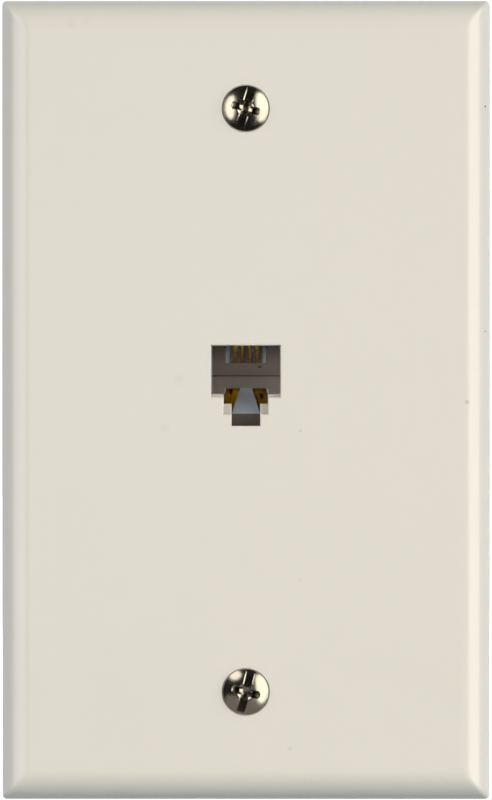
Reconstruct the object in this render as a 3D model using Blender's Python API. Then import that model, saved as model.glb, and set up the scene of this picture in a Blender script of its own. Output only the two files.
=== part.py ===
# Telephone wall socket: a one-gang cover plate with a four-wire modular jack behind it.
# Metres, +Z up, +Y into the wall. The origin is the plate's centre on the wall plane.

import math

import bmesh
import bpy
from mathutils import Matrix, Vector

# Gap kept between pieces that touch, and the overlap that lets a rib grow out of its wall
CLEARANCE = 0.0003
ROOT = 0.0002
# How far a cutter stands out of the surface that it cuts
OVERCUT = 0.0005

# Cover plate
PLATE_WIDTH = 0.06985
PLATE_HEIGHT = 0.1143
PLATE_DEPTH = 0.0056
PLATE_WALL = 0.0022
RIM_WALL = 0.0018
ROLL_RADIUS = 0.0052
ROLL_SWEEP = math.radians(55)
ROLL_STEPS = 8
SIDE_DRAFT = math.radians(1.5)
CORNER_RADIUS = 0.0006
CORNER_STEPS = 3
PLATE_RIB_X = 0.0245
PLATE_RIB_Z = 0.027
PLATE_RIB_WALL = 0.0011
PLATE_RIB_HEIGHT = 0.0013

# Stepped opening in the plate that takes the plug and its latch
OPENING_HALF_WIDTH = 0.004945
OPENING_TOP = 0.0078
OPENING_SILL = 0.00043
SILL_STEP = 0.0004
KEY_HALF_WIDTH = 0.00316
KEY_BOTTOM = -0.0020
CATCH_HEIGHT = 0.0015
CATCH_RECESS = 0.0010
LATCH_HALF_WIDTH = 0.00203
LATCH_BOTTOM = -0.00367

# Plate mounting screws, No. 6-32 oval head with a combined slot and cross recess
SCREW_SPACING = 0.08334
SCREW_HOLE = 0.0039
SCREW_MOUTH = 0.00685
SCREW_SHANK = 0.0034
SCREW_HEAD = 0.00655
SCREW_HEAD_PROUD = 0.00015
SCREW_DOME = 0.00115
SCREW_LENGTH = 0.0254
SCREW_POINT = 0.0006
COUNTERSINK = math.radians(41)
SCREW_BOSS = 0.0095
SCREW_BOSS_HEIGHT = 0.0026
SLOT_WIDTH = 0.0011
SLOT_DEPTH = 0.0010
CROSS_SPAN = 0.00435
CROSS_WING = 0.0010
CROSS_DEPTH = 0.0021
CROSS_TAPER = 0.4
TOP_SCREW_TURN = math.radians(16.6)
BOTTOM_SCREW_TURN = math.radians(14.4)

# Jack housing, measured from the opening that it lines up with
HOUSING_WALL = 0.00135
HOUSING_ROOF = 0.0026
HOUSING_FOOT = 0.0019
JACK_DEPTH = 0.0119
CAVITY_DRAFT = math.radians(1.2)
STOP_STEP = 0.0008
STOP_TOP = 0.00348
WELL_TOP = 0.00165
WELL_DROP = 0.0004
WELL_CORNER = 0.0003
RAMP_REAR_HALF_WIDTH = 0.00085
RAMP_FRONT_Z = -0.00191
RAMP_KNEE_Y = 0.0039
RAMP_KNEE_Z = 0.0007
REAR_WALL = 0.0016
CHAMBER_DEPTH = 0.0056
CHAMBER_WALL = 0.0008
CHAMBER_ROOF = 0.0019
CHAMBER_FLOOR = 0.0010
FLANGE_WIDTH = 0.0010
FLANGE_DEPTH = 0.0015
LUG_LENGTH = 0.0012
LUG_HEIGHT = 0.0005
LUG_SPAN = 0.0060

# Contact wires and the channels that hold them
WIRE_COUNT = 4
WIRE_PITCH = 0.00105
WIRE_RADIUS = 0.00023
WIRE_BEND = 0.0008
WIRE_BEND_Y = -0.0014
WIRE_SLOPE_TOP = 0.0076
WIRE_TIP_Z = 0.00543
WIRE_TIP_INSET = 0.0006
WIRE_GROOVE = 0.00066
WINDOW_HALF_WIDTH = 0.0025
WINDOW_CHAMFER = 0.00045
WINDOW_BOTTOM = 0.0052
WINDOW_DEPTH = 0.0005
COMB_DEPTH = 0.0011
RETAINER_HALF_WIDTH = 0.0031
RETAINER_LENGTH = 0.0055
RETAINER_FRONT = 0.0018
RETAINER_THICKNESS = 0.0006

# Brass tabs behind the rear wall, each crimped on its lead
TAB_THICKNESS = 0.0004
INNER_TAB_X = 0.0020
INNER_TAB_WIDTH = 0.0027
INNER_TAB_BOTTOM = -0.0034
INNER_TAB_TOP = 0.0052
OUTER_TAB_X = 0.0044
OUTER_TAB_WIDTH = 0.0013
OUTER_TAB_BOTTOM = 0.0010
OUTER_TAB_TOP = 0.0077
TAB_CORNER = 0.0003
TAB_HOLE = 0.0008
TAB_PIN = 0.0007
PIN_LENGTH = 0.0010
PIN_INSET = 0.0006
WIRE_OUTER_INSET = 0.0003
WIRE_INNER_INSET = 0.0010
WIRE_OUTER_RISE = 0.0006
CRIMP_WALL = 0.00025
CRIMP_LENGTH = 0.0016
CRIMP_BOTTOM = 0.0022
CRIMP_ROOT = 0.0001

# Leads from the tabs to the terminals
LEAD_DIAMETER = 0.0012
LEAD_GAP = 0.0001
INNER_LEAD_X = 0.0021
LEAD_EXIT_Z = -0.0024
LEAD_BEND = 0.0014
LEAD_INSERT = 0.0006
LEAD_REACH = 0.0022

# Rear cap over the chamber
CAP_THICKNESS = 0.0012
CAP_LIP = 0.0015
CAP_LIP_WALL = 0.0009

# Terminal block
BLOCK_WIDTH = 0.046
BLOCK_HEIGHT = 0.036
BLOCK_Z = 0.002
BLOCK_BASE = 0.0022
BLOCK_CORNER = 0.003
TOWER_WALL = 0.0014
POST_X = 0.017
POST_RISE = 0.010
POST_DIAMETER = 0.0084
POST_HEIGHT = 0.0050
WEB_WALL = 0.0012
WEB_HEIGHT = 0.0025
PILOT_BOSS = 0.0050
PILOT_BOSS_HEIGHT = 0.0044
PILOT_BORE = 0.0026
PILOT_DEPTH = 0.0040

# Terminal hardware, No. 6-32
INSERT_DIAMETER = 0.0052
INSERT_LENGTH = 0.0032
INSERT_BORE = 0.0038
INSERT_KNURL = 0.00012
INSERT_TEETH = 14
LUG_THICKNESS = 0.0008
LUG_WIDTH = 0.0064
LUG_SLOT = 0.0037
LUG_TIP = 0.0034
LUG_NECK = 0.0013
LUG_BARREL_START = 0.0042
LUG_BARREL_LENGTH = 0.0030
LUG_BARREL_WALL = 0.0004
WASHER_DIAMETER = 0.0080
WASHER_BORE = 0.0038
WASHER_THICKNESS = 0.0008
TERMINAL_HEAD = 0.0070
TERMINAL_HEAD_HEIGHT = 0.0022
TERMINAL_SCREW_LENGTH = 0.0064
TERMINAL_SLOT_WIDTH = 0.0010
TERMINAL_SLOT_DEPTH = 0.0010

# Self-tapping screws that hold the block on the plate
BLOCK_SCREW_HEAD = 0.0055
BLOCK_SCREW_HEAD_HEIGHT = 0.0018
BLOCK_SCREW_CORE = 0.0022
BLOCK_SCREW_LENGTH = 0.0064
BLOCK_SCREW_HOLE = 0.0032

# Planes and edges that several pieces share, all from the sizes above
FACE_Y = -PLATE_DEPTH
INNER_Y = FACE_Y + PLATE_WALL
JACK_FRONT = INNER_Y + CLEARANCE
JACK_WALL_Y = FACE_Y + JACK_DEPTH
STOP_Y = JACK_WALL_Y - STOP_STEP
CHAMBER_Y = JACK_WALL_Y + REAR_WALL
JACK_REAR = CHAMBER_Y + CHAMBER_DEPTH
HOUSING_HALF_WIDTH = OPENING_HALF_WIDTH + HOUSING_WALL
HOUSING_TOP = OPENING_TOP + HOUSING_ROOF
HOUSING_BOTTOM = LATCH_BOTTOM - HOUSING_FOOT
WELL_FLOOR = KEY_BOTTOM - WELL_DROP
CHAMBER_HALF_WIDTH = HOUSING_HALF_WIDTH - CHAMBER_WALL
CHAMBER_TOP = HOUSING_TOP - CHAMBER_ROOF
CHAMBER_BOTTOM = HOUSING_BOTTOM + CHAMBER_FLOOR
FLANGE_BACK = JACK_FRONT + FLANGE_DEPTH
WIRE_TOP_Z = WIRE_SLOPE_TOP + 2 * WIRE_BEND
ROOF_CHANNEL_TOP = WIRE_SLOPE_TOP + 2 * WIRE_RADIUS
GROOVE_FLOOR = WIRE_TOP_Z - 1.5 * WIRE_RADIUS
RETAINER_SEAT = HOUSING_TOP - RETAINER_THICKNESS - CLEARANCE
TAB_FRONT = CHAMBER_Y + CLEARANCE
TAB_REAR = TAB_FRONT + TAB_THICKNESS
WIRE_DROP_Y = TAB_REAR + CLEARANCE + WIRE_RADIUS
CRIMP_BORE = LEAD_DIAMETER / 2 + LEAD_GAP
CRIMP_RADIUS = CRIMP_BORE + CRIMP_WALL
LEAD_Y = TAB_REAR + CRIMP_RADIUS - CRIMP_ROOT
CAP_FRONT = JACK_REAR + CLEARANCE
CAP_REAR = CAP_FRONT + CAP_THICKNESS
TOWER_FRONT = FLANGE_BACK + CLEARANCE
TOWER_REAR = JACK_REAR - LUG_LENGTH - CLEARANCE
BLOCK_FRONT = INNER_Y + PILOT_BOSS_HEIGHT + CLEARANCE
BLOCK_REAR = BLOCK_FRONT + BLOCK_BASE
POST_TOP = BLOCK_REAR + POST_HEIGHT
LUG_FRONT = POST_TOP + CLEARANCE
WASHER_FRONT = LUG_FRONT + LUG_THICKNESS + CLEARANCE
TERMINAL_SEAT = WASHER_FRONT + WASHER_THICKNESS + CLEARANCE
LUG_BARREL_RADIUS = LEAD_DIAMETER / 2 + LEAD_GAP + LUG_BARREL_WALL

# The four lines: colour name, side of the jack, inner or outer tab, upper or lower terminal
LINES = (
    ("black", -1, "outer", 1),
    ("red", -1, "inner", -1),
    ("green", 1, "inner", -1),
    ("yellow", 1, "outer", 1),
)
LEAD_COLOURS = {
    "black": (0.02, 0.02, 0.022),
    "red": (0.35, 0.02, 0.02),
    "green": (0.01, 0.09, 0.035),
    "yellow": (0.65, 0.45, 0.04),
}
SPOT_Z = {"red": 0.0012, "green": 0.0005}

# Plain colours of the materials, with roughness and metallic
ALMOND = (0.72, 0.69, 0.61)
GREY_PLASTIC = (0.36, 0.36, 0.35)
IVORY_PLASTIC = (0.60, 0.57, 0.49)
NICKEL = (0.62, 0.59, 0.53)
ZINC = (0.55, 0.56, 0.57)
BRASS = (0.66, 0.45, 0.14)
GOLD = (0.85, 0.60, 0.22)
TIN = (0.70, 0.70, 0.70)


# Scene helpers

def clear_scene():
    for item in list(bpy.data.objects):
        bpy.data.objects.remove(item, do_unlink=True)


def make_material(name, colour, roughness, metallic=0.0):
    material = bpy.data.materials.new(name)
    material.use_nodes = True
    shader = material.node_tree.nodes["Principled BSDF"]
    shader.inputs["Base Color"].default_value = (*colour, 1.0)
    shader.inputs["Roughness"].default_value = roughness
    shader.inputs["Metallic"].default_value = metallic
    return material


def add_object(name, data, material=None, place=(0, 0, 0), turn=0.0):
    item = bpy.data.objects.new(name, data)
    bpy.context.scene.collection.objects.link(item)
    item.location = place
    item.rotation_euler = (0.0, turn, 0.0)
    if material:
        data.materials.append(material)
    return item


def mesh_from(name, shape):
    bmesh.ops.recalc_face_normals(shape, faces=shape.faces)
    mesh = bpy.data.meshes.new(name)
    shape.to_mesh(mesh)
    shape.free()
    return mesh


# Shapes

def arc(centre, radius, start, end, steps):
    points = []
    for step in range(steps + 1):
        angle = start + (end - start) * step / steps
        points.append((centre[0] + radius * math.cos(angle), centre[1] + radius * math.sin(angle)))
    return points


def rounded_rectangle(half_width, half_height, radius, steps, centre=(0.0, 0.0)):
    points = []
    for index, (side, end) in enumerate(((1, 1), (-1, 1), (-1, -1), (1, -1))):
        corner = (centre[0] + side * (half_width - radius), centre[1] + end * (half_height - radius))
        start = index * math.pi / 2
        points += arc(corner, radius, start, start + math.pi / 2, steps)
    return points


def rectangle(x0, x1, z0, z1):
    return [(x1, z1), (x0, z1), (x0, z0), (x1, z0)]


def mirrored(half):
    return half + [(-x, z) for x, z in reversed(half)]


def loft(name, rings):
    # Each ring is an outline in X and Z with its own Y, all with the same number of points
    shape = bmesh.new()
    loops = []
    for outline, y in rings:
        loops.append([shape.verts.new((x, y, z)) for x, z in outline])
    for near, far in zip(loops, loops[1:]):
        for index in range(len(near)):
            following = (index + 1) % len(near)
            shape.faces.new((near[index], near[following], far[following], far[index]))
    shape.faces.new(loops[0])
    shape.faces.new(loops[-1])
    split_bent_faces(shape)
    return mesh_from(name, shape)


def split_bent_faces(shape):
    # A Boolean needs flat faces, so a twisted quad is split into triangles
    bent = []
    for face in shape.faces:
        face.normal_update()
        middle = face.calc_center_median()
        if max(abs((vert.co - middle).dot(face.normal)) for vert in face.verts) > 1e-7:
            bent.append(face)
    bmesh.ops.triangulate(shape, faces=bent)


def prism(name, outline, y0, y1):
    return loft(name, ((outline, y0), (outline, y1)))


def box(name, x0, x1, y0, y1, z0, z1):
    return prism(name, rectangle(x0, x1, z0, z1), y0, y1)


def revolved(name, profile, segments):
    # The profile is radius and Y, from the axis round to the axis again
    shape = bmesh.new()
    loops = []
    for radius, y in profile[1:-1]:
        loop = []
        for index in range(segments):
            angle = 2 * math.pi * index / segments
            loop.append(shape.verts.new((radius * math.cos(angle), y, radius * math.sin(angle))))
        loops.append(loop)
    for near, far in zip(loops, loops[1:]):
        for index in range(segments):
            following = (index + 1) % segments
            shape.faces.new((near[index], near[following], far[following], far[index]))
    for loop, (_, y) in ((loops[0], profile[0]), (loops[-1], profile[-1])):
        if abs(loop[0].co.y - y) < 1e-9:
            shape.faces.new(loop)
            continue
        tip = shape.verts.new((0.0, y, 0.0))
        for index in range(segments):
            shape.faces.new((loop[index], loop[(index + 1) % segments], tip))
    return mesh_from(name, shape)


def cylinder(name, radius, y0, y1, segments):
    return revolved(name, ((0, y0), (radius, y0), (radius, y1), (0, y1)), segments)


def ring(name, outer, inner, y0, y1, segments):
    shape = bmesh.new()
    loops = []
    for radius, y in ((outer, y0), (outer, y1), (inner, y1), (inner, y0)):
        loop = []
        for index in range(segments):
            angle = 2 * math.pi * index / segments
            loop.append(shape.verts.new((radius * math.cos(angle), y, radius * math.sin(angle))))
        loops.append(loop)
    for near, far in zip(loops, loops[1:] + loops[:1]):
        for index in range(segments):
            following = (index + 1) % segments
            shape.faces.new((near[index], near[following], far[following], far[index]))
    return mesh_from(name, shape)


def boolean(target, mesh, operation, place=(0, 0, 0), turn=0.0):
    tool = add_object(mesh.name, mesh, place=place, turn=turn)
    tool.parent = target
    tool.hide_render = True
    tool.display_type = "WIRE"
    step = target.modifiers.new(mesh.name, "BOOLEAN")
    step.operation = operation
    step.solver = "EXACT"
    step.object = tool


def cut(target, mesh, place=(0, 0, 0), turn=0.0):
    boolean(target, mesh, "DIFFERENCE", place, turn)


def grow(target, mesh, place=(0, 0, 0), turn=0.0):
    boolean(target, mesh, "UNION", place, turn)


def bent_route(points, reach, steps):
    # Straight runs joined by round bends, each as wide as its neighbours leave room for
    path = [points[0]]
    for index in range(1, len(points) - 1):
        before, corner, after = points[index - 1:index + 2]
        heading = (corner - before).normalized()
        leaving = (after - corner).normalized()
        turn = heading.angle(leaving)
        room_in = (corner - before).length * (0.5 if index > 1 else 0.95)
        room_out = (after - corner).length * (0.5 if index < len(points) - 2 else 0.95)
        cutback = min(reach, room_in, room_out)
        radius = cutback / math.tan(turn / 2)
        inward = (leaving - heading * math.cos(turn)).normalized()
        start = corner - heading * cutback
        for step in range(steps + 1):
            angle = turn * step / steps
            path.append(start + heading * radius * math.sin(angle) + inward * radius * (1 - math.cos(angle)))
    path.append(points[-1])
    return path


def tube(name, path, radius, material, resolution=2):
    curve = bpy.data.curves.new(name, "CURVE")
    curve.dimensions = "3D"
    curve.bevel_depth = radius
    curve.bevel_resolution = resolution
    curve.use_fill_caps = True
    spline = curve.splines.new("POLY")
    spline.points.add(len(path) - 1)
    for point, place in zip(spline.points, path):
        point.co = (*place, 1.0)
    return add_object(name, curve, material)


# Cover plate

def plate_rings():
    # Insets from the plate's outline, from the flat face round the rolled edge to the hollow
    roll_end = FACE_Y + ROLL_RADIUS * (1 - math.cos(ROLL_SWEEP))
    side_run = -roll_end * math.tan(SIDE_DRAFT)
    profile = []
    for step in range(ROLL_STEPS + 1):
        angle = ROLL_SWEEP * step / ROLL_STEPS
        inset = side_run + ROLL_RADIUS * (math.sin(ROLL_SWEEP) - math.sin(angle))
        profile.append((inset, FACE_Y + ROLL_RADIUS * (1 - math.cos(angle))))
    profile.append((0.0, 0.0))
    profile.append((RIM_WALL, 0.0))
    profile.append((RIM_WALL - INNER_Y * math.tan(SIDE_DRAFT), INNER_Y))
    rings = []
    for inset, y in profile:
        outline = rounded_rectangle(
            PLATE_WIDTH / 2 - inset, PLATE_HEIGHT / 2 - inset, CORNER_RADIUS, CORNER_STEPS
        )
        rings.append((outline, y))
    return rings


def opening_outline(sill, step_bottom):
    return mirrored([
        (OPENING_HALF_WIDTH, OPENING_TOP),
        (OPENING_HALF_WIDTH, sill),
        (KEY_HALF_WIDTH, sill),
        (KEY_HALF_WIDTH, step_bottom),
        (LATCH_HALF_WIDTH, step_bottom),
        (LATCH_HALF_WIDTH, LATCH_BOTTOM),
    ])


def add_plate_ribs(plate):
    height = (INNER_Y - ROOT, INNER_Y + PLATE_RIB_HEIGHT)
    half_span = PLATE_HEIGHT / 2 - RIM_WALL
    for side in (-1, 1):
        middle = side * PLATE_RIB_X
        edges = (middle - PLATE_RIB_WALL / 2, middle + PLATE_RIB_WALL / 2)
        grow(plate, box("plate_rib_long", *edges, *height, -half_span, half_span))
    for end in (-1, 1):
        middle = end * PLATE_RIB_Z
        edges = (middle - PLATE_RIB_WALL / 2, middle + PLATE_RIB_WALL / 2)
        grow(plate, box("plate_rib_cross", -PLATE_RIB_X, PLATE_RIB_X, *height, *edges))


def add_plate_collar(plate):
    # A raised frame on the plate's back locates the jack's flange
    inner = flange_outline(CLEARANCE)
    outer = flange_outline(CLEARANCE + PLATE_RIB_WALL)
    rear = FLANGE_BACK - CLEARANCE
    grow(plate, prism("collar", outer, INNER_Y - ROOT, rear))
    cut(plate, prism("collar_inside", inner, INNER_Y, rear + OVERCUT))


def add_plate_bosses(plate):
    for end in (-1, 1):
        place = (0, 0, end * SCREW_SPACING / 2)
        top = INNER_Y + SCREW_BOSS_HEIGHT
        grow(plate, cylinder("screw_boss", SCREW_BOSS / 2, INNER_Y - ROOT, top, 28), place)
    for side in (-1, 1):
        place = (side * POST_X, 0, BLOCK_Z)
        top = INNER_Y + PILOT_BOSS_HEIGHT
        grow(plate, cylinder("pilot_boss", PILOT_BOSS / 2, INNER_Y - ROOT, top, 20), place)
        bore = cylinder("pilot_bore", PILOT_BORE / 2, top - PILOT_DEPTH, top + OVERCUT, 16)
        cut(plate, bore, place)


def countersink_profile():
    mouth = SCREW_MOUTH / 2
    hole = SCREW_HOLE / 2
    slope = math.tan(COUNTERSINK)
    return (
        (0, FACE_Y - OVERCUT),
        (mouth + OVERCUT * slope, FACE_Y - OVERCUT),
        (hole, FACE_Y + (mouth - hole) / slope),
        (hole, INNER_Y + SCREW_BOSS_HEIGHT + OVERCUT),
        (0, INNER_Y + SCREW_BOSS_HEIGHT + OVERCUT),
    )


def make_wall_plate():
    material = make_material("almond_plastic", ALMOND, 0.34)
    plate = add_object("wall_plate", loft("wall_plate", plate_rings()), material)
    add_plate_ribs(plate)
    add_plate_collar(plate)
    add_plate_bosses(plate)
    for end in (-1, 1):
        place = (0, 0, end * SCREW_SPACING / 2)
        cut(plate, revolved("screw_hole", countersink_profile(), 28), place)
    step_y = FACE_Y + CATCH_RECESS
    mouth = opening_outline(OPENING_SILL, KEY_BOTTOM)
    throat = opening_outline(OPENING_SILL + SILL_STEP, KEY_BOTTOM + CATCH_HEIGHT)
    cut(plate, prism("opening_mouth", mouth, FACE_Y - OVERCUT, step_y))
    cut(plate, prism("opening_throat", throat, step_y - ROOT, INNER_Y + OVERCUT))
    return plate


# Mounting screws

def mounting_screw_profile():
    rim = FACE_Y - SCREW_HEAD_PROUD
    head = SCREW_HEAD / 2
    shank = SCREW_SHANK / 2
    sphere = (head ** 2 + SCREW_DOME ** 2) / (2 * SCREW_DOME)
    profile = []
    for step in range(6):
        angle = math.asin(head / sphere) * step / 5
        profile.append((sphere * math.sin(angle), rim - SCREW_DOME + sphere * (1 - math.cos(angle))))
    profile.append((shank, rim + (head - shank) / math.tan(COUNTERSINK)))
    tip = rim + SCREW_LENGTH
    profile.append((shank, tip - SCREW_POINT))
    profile.append((shank - SCREW_POINT, tip))
    profile.append((0, tip))
    return profile


def cross_outline(span, wing):
    arm = span / 2
    half = wing / 2
    return [
        (half, half), (half, arm), (-half, arm), (-half, half),
        (-arm, half), (-arm, -half), (-half, -half), (-half, -arm),
        (half, -arm), (half, -half), (arm, -half), (arm, half),
    ]


def cross_cutter(top):
    scale = 1 + OVERCUT / CROSS_DEPTH * (1 - CROSS_TAPER)
    rings = (
        (cross_outline(CROSS_SPAN * scale, CROSS_WING), top - OVERCUT),
        (cross_outline(CROSS_SPAN * CROSS_TAPER, CROSS_WING * 0.7), top + CROSS_DEPTH),
    )
    return loft("cross_recess", rings)


def make_mounting_screws():
    material = make_material("nickel_plate", NICKEL, 0.24, 1.0)
    top = FACE_Y - SCREW_HEAD_PROUD - SCREW_DOME
    for name, end, turn in (("top", 1, TOP_SCREW_TURN), ("bottom", -1, BOTTOM_SCREW_TURN)):
        body = revolved("screw_body", mounting_screw_profile(), 32)
        place = (0, 0, end * SCREW_SPACING / 2)
        screw = add_object("mounting_screw_" + name, body, material, place, turn)
        half = SLOT_WIDTH / 2
        reach = SCREW_HEAD
        cut(screw, box("slot", -half, half, top - OVERCUT, top + SLOT_DEPTH, -reach, reach))
        cut(screw, cross_cutter(top))


# Jack housing

def flange_outline(margin):
    side = HOUSING_HALF_WIDTH + FLANGE_WIDTH + margin
    return rectangle(
        -side, side, HOUSING_BOTTOM - FLANGE_WIDTH - margin, HOUSING_TOP + FLANGE_WIDTH + margin
    )


def wire_positions():
    return [(index - (WIRE_COUNT - 1) / 2) * WIRE_PITCH for index in range(WIRE_COUNT)]


def cut_plug_cavity(housing):
    # The cavity narrows a little toward the rear, and its lower half stops short at a step
    sill = OPENING_SILL + SILL_STEP
    narrow = (STOP_Y - JACK_FRONT) * math.tan(CAVITY_DRAFT)
    side = OPENING_HALF_WIDTH
    front = rectangle(-side - ROOT / 10, side + ROOT / 10, sill, OPENING_TOP)
    rear = rectangle(-side + narrow, side - narrow, sill + narrow / 2, OPENING_TOP - narrow / 2)
    cut(housing, loft("plug_cavity", ((front, JACK_FRONT - OVERCUT), (rear, STOP_Y))))
    upper = rectangle(-side + narrow, side - narrow, STOP_TOP, OPENING_TOP - narrow / 2)
    lip = rectangle(
        -side + narrow, side - narrow, STOP_TOP - STOP_STEP / 4, OPENING_TOP - narrow / 2
    )
    rings = ((lip, STOP_Y - ROOT), (upper, STOP_Y + STOP_STEP / 2), (upper, JACK_WALL_Y))
    cut(housing, loft("plug_cavity_rear", rings))


def cut_latch_well(housing):
    side = KEY_HALF_WIDTH
    sill = OPENING_SILL + SILL_STEP
    front = rectangle(-side, side, WELL_FLOOR, sill + ROOT)
    cut(housing, prism("latch_well", front, JACK_FRONT - OVERCUT, STOP_Y - ROOT))
    rear = mirrored([
        (side - WELL_CORNER, WELL_TOP),
        (side, OPENING_SILL),
        (side, WELL_FLOOR),
    ])
    cut(housing, prism("latch_well_rear", rear, STOP_Y - 3 * ROOT, CHAMBER_Y + OVERCUT))


def grow_latch_ramp(housing):
    # The tapered ramp guides the plug's latch up and over the well
    def section(z):
        share = (z - RAMP_FRONT_Z) / (WELL_TOP - RAMP_FRONT_Z)
        half = LATCH_HALF_WIDTH + (RAMP_REAR_HALF_WIDTH - LATCH_HALF_WIDTH) * share
        return rectangle(-half, half, WELL_FLOOR - ROOT, z)

    rings = (
        (section(RAMP_FRONT_Z), JACK_FRONT - 0.3 * ROOT),
        (section(RAMP_KNEE_Z), RAMP_KNEE_Y),
        (section(WELL_TOP + ROOT), STOP_Y + ROOT),
        (section(WELL_TOP + ROOT), CHAMBER_Y - ROOT),
    )
    grow(housing, loft("latch_ramp", rings))


def cut_wire_channels(housing):
    side = WINDOW_HALF_WIDTH
    front = JACK_FRONT - OVERCUT
    window = side + WINDOW_CHAMFER
    throat = side - ROOT
    cut(housing, box("roof_channel", -throat, throat, front, JACK_WALL_Y + WINDOW_DEPTH - ROOT / 2,
                     OPENING_TOP - ROOT * 3, ROOF_CHANNEL_TOP))
    wide = mirrored([
        (throat - ROOT / 4, ROOF_CHANNEL_TOP - ROOT),
        (window, OPENING_TOP - WINDOW_CHAMFER),
        (window, WINDOW_BOTTOM),
    ])
    narrow = mirrored([
        (throat - ROOT / 4, ROOF_CHANNEL_TOP - ROOT),
        (side, OPENING_TOP - WINDOW_CHAMFER),
        (side, WINDOW_BOTTOM + WINDOW_CHAMFER / 2),
    ])
    rings = ((wide, JACK_WALL_Y - ROOT), (narrow, JACK_WALL_Y + WINDOW_DEPTH))
    cut(housing, loft("contact_window", rings))
    lip_y = WIRE_BEND_Y
    window_x = side + WIRE_RADIUS
    cut(housing, box("lip_notch", -window_x, window_x, front, lip_y,
                     OPENING_TOP - ROOT * 2, HOUSING_TOP + FLANGE_WIDTH + OVERCUT))
    seat = RETAINER_HALF_WIDTH + CLEARANCE
    cut(housing, box("retainer_seat", -seat, seat, RETAINER_FRONT - CLEARANCE,
                     RETAINER_FRONT + RETAINER_LENGTH + CLEARANCE, RETAINER_SEAT, HOUSING_TOP + OVERCUT))
    half = WIRE_GROOVE / 2
    drop_front = WIRE_DROP_Y - WIRE_BEND
    for x in wire_positions():
        cut(housing, box("wire_groove", x - half, x + half, lip_y - ROOT, WIRE_DROP_Y + half,
                         GROOVE_FLOOR, HOUSING_TOP + OVERCUT))
        cut(housing, box("wire_drop", x - half, x + half, drop_front, WIRE_DROP_Y + half,
                         CHAMBER_TOP - ROOT, GROOVE_FLOOR + ROOT))
        cut(housing, box("comb_slot", x - half, x + half, JACK_WALL_Y + WINDOW_DEPTH - ROOT,
                         JACK_WALL_Y + COMB_DEPTH, WINDOW_BOTTOM - WIRE_RADIUS, ROOF_CHANNEL_TOP))


def tab_pins():
    pins = []
    for side in (-1, 1):
        pins.append((side * (INNER_TAB_X + PIN_INSET), INNER_TAB_TOP - PIN_INSET))
        pins.append((side * INNER_TAB_X, INNER_TAB_BOTTOM + PIN_INSET))
        pins.append((side * OUTER_TAB_X, OUTER_TAB_TOP - PIN_INSET))
        pins.append((side * OUTER_TAB_X, OUTER_TAB_BOTTOM + PIN_INSET))
    return pins


def make_jack_housing():
    material = make_material("grey_plastic", GREY_PLASTIC, 0.45)
    side = HOUSING_HALF_WIDTH
    body = box("jack_housing", -side, side, JACK_FRONT, JACK_REAR, HOUSING_BOTTOM, HOUSING_TOP)
    housing = add_object("jack_housing", body, material)
    grow(housing, prism("flange", flange_outline(0.0), JACK_FRONT - ROOT / 4, FLANGE_BACK))
    middle = (HOUSING_TOP + HOUSING_BOTTOM) / 2
    for hand in (-1, 1):
        lug = [
            (side - ROOT, JACK_REAR - LUG_LENGTH),
            (side + LUG_HEIGHT, JACK_REAR - LUG_LENGTH),
            (side + LUG_HEIGHT, JACK_REAR - LUG_LENGTH / 2),
            (side + ROOT / 2, JACK_REAR - ROOT),
            (side - ROOT, JACK_REAR - ROOT),
        ]
        grow(housing, upright_prism("snap_lug", [(hand * x, y) for x, y in lug],
                                    middle - LUG_SPAN / 2, middle + LUG_SPAN / 2))
    cut_plug_cavity(housing)
    cut_latch_well(housing)
    grow_latch_ramp(housing)
    cut_wire_channels(housing)
    inside = CHAMBER_HALF_WIDTH
    cut(housing, box("rear_chamber", -inside, inside, CHAMBER_Y, JACK_REAR + OVERCUT,
                     CHAMBER_BOTTOM, CHAMBER_TOP))
    for x, z in tab_pins():
        pin = cylinder("tab_pin", TAB_PIN / 2, CHAMBER_Y - ROOT, CHAMBER_Y + PIN_LENGTH, 10)
        grow(housing, pin, (x, 0, z))
    return housing


def upright_prism(name, outline, z0, z1):
    # An outline in X and Y raised along Z
    shape = bmesh.new()
    lower = [shape.verts.new((x, y, z0)) for x, y in outline]
    upper = [shape.verts.new((x, y, z1)) for x, y in outline]
    for index in range(len(outline)):
        following = (index + 1) % len(outline)
        shape.faces.new((lower[index], lower[following], upper[following], upper[index]))
    shape.faces.new(lower)
    shape.faces.new(upper)
    return mesh_from(name, shape)


def make_wire_retainer():
    material = make_material("retainer_plastic", GREY_PLASTIC, 0.5)
    side = RETAINER_HALF_WIDTH
    span = (RETAINER_FRONT, RETAINER_FRONT + RETAINER_LENGTH)
    plate = box("wire_retainer", -side, side, *span, HOUSING_TOP - RETAINER_THICKNESS, HOUSING_TOP)
    retainer = add_object("wire_retainer", plate, material)
    half = WIRE_GROOVE / 2 - CLEARANCE / 2
    foot = WIRE_TOP_Z + WIRE_RADIUS + CLEARANCE / 2
    for x in wire_positions():
        grow(retainer, box("comb_rib", x - half, x + half, span[0] + ROOT, span[1] - ROOT,
                           foot, HOUSING_TOP - RETAINER_THICKNESS + ROOT))


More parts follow.
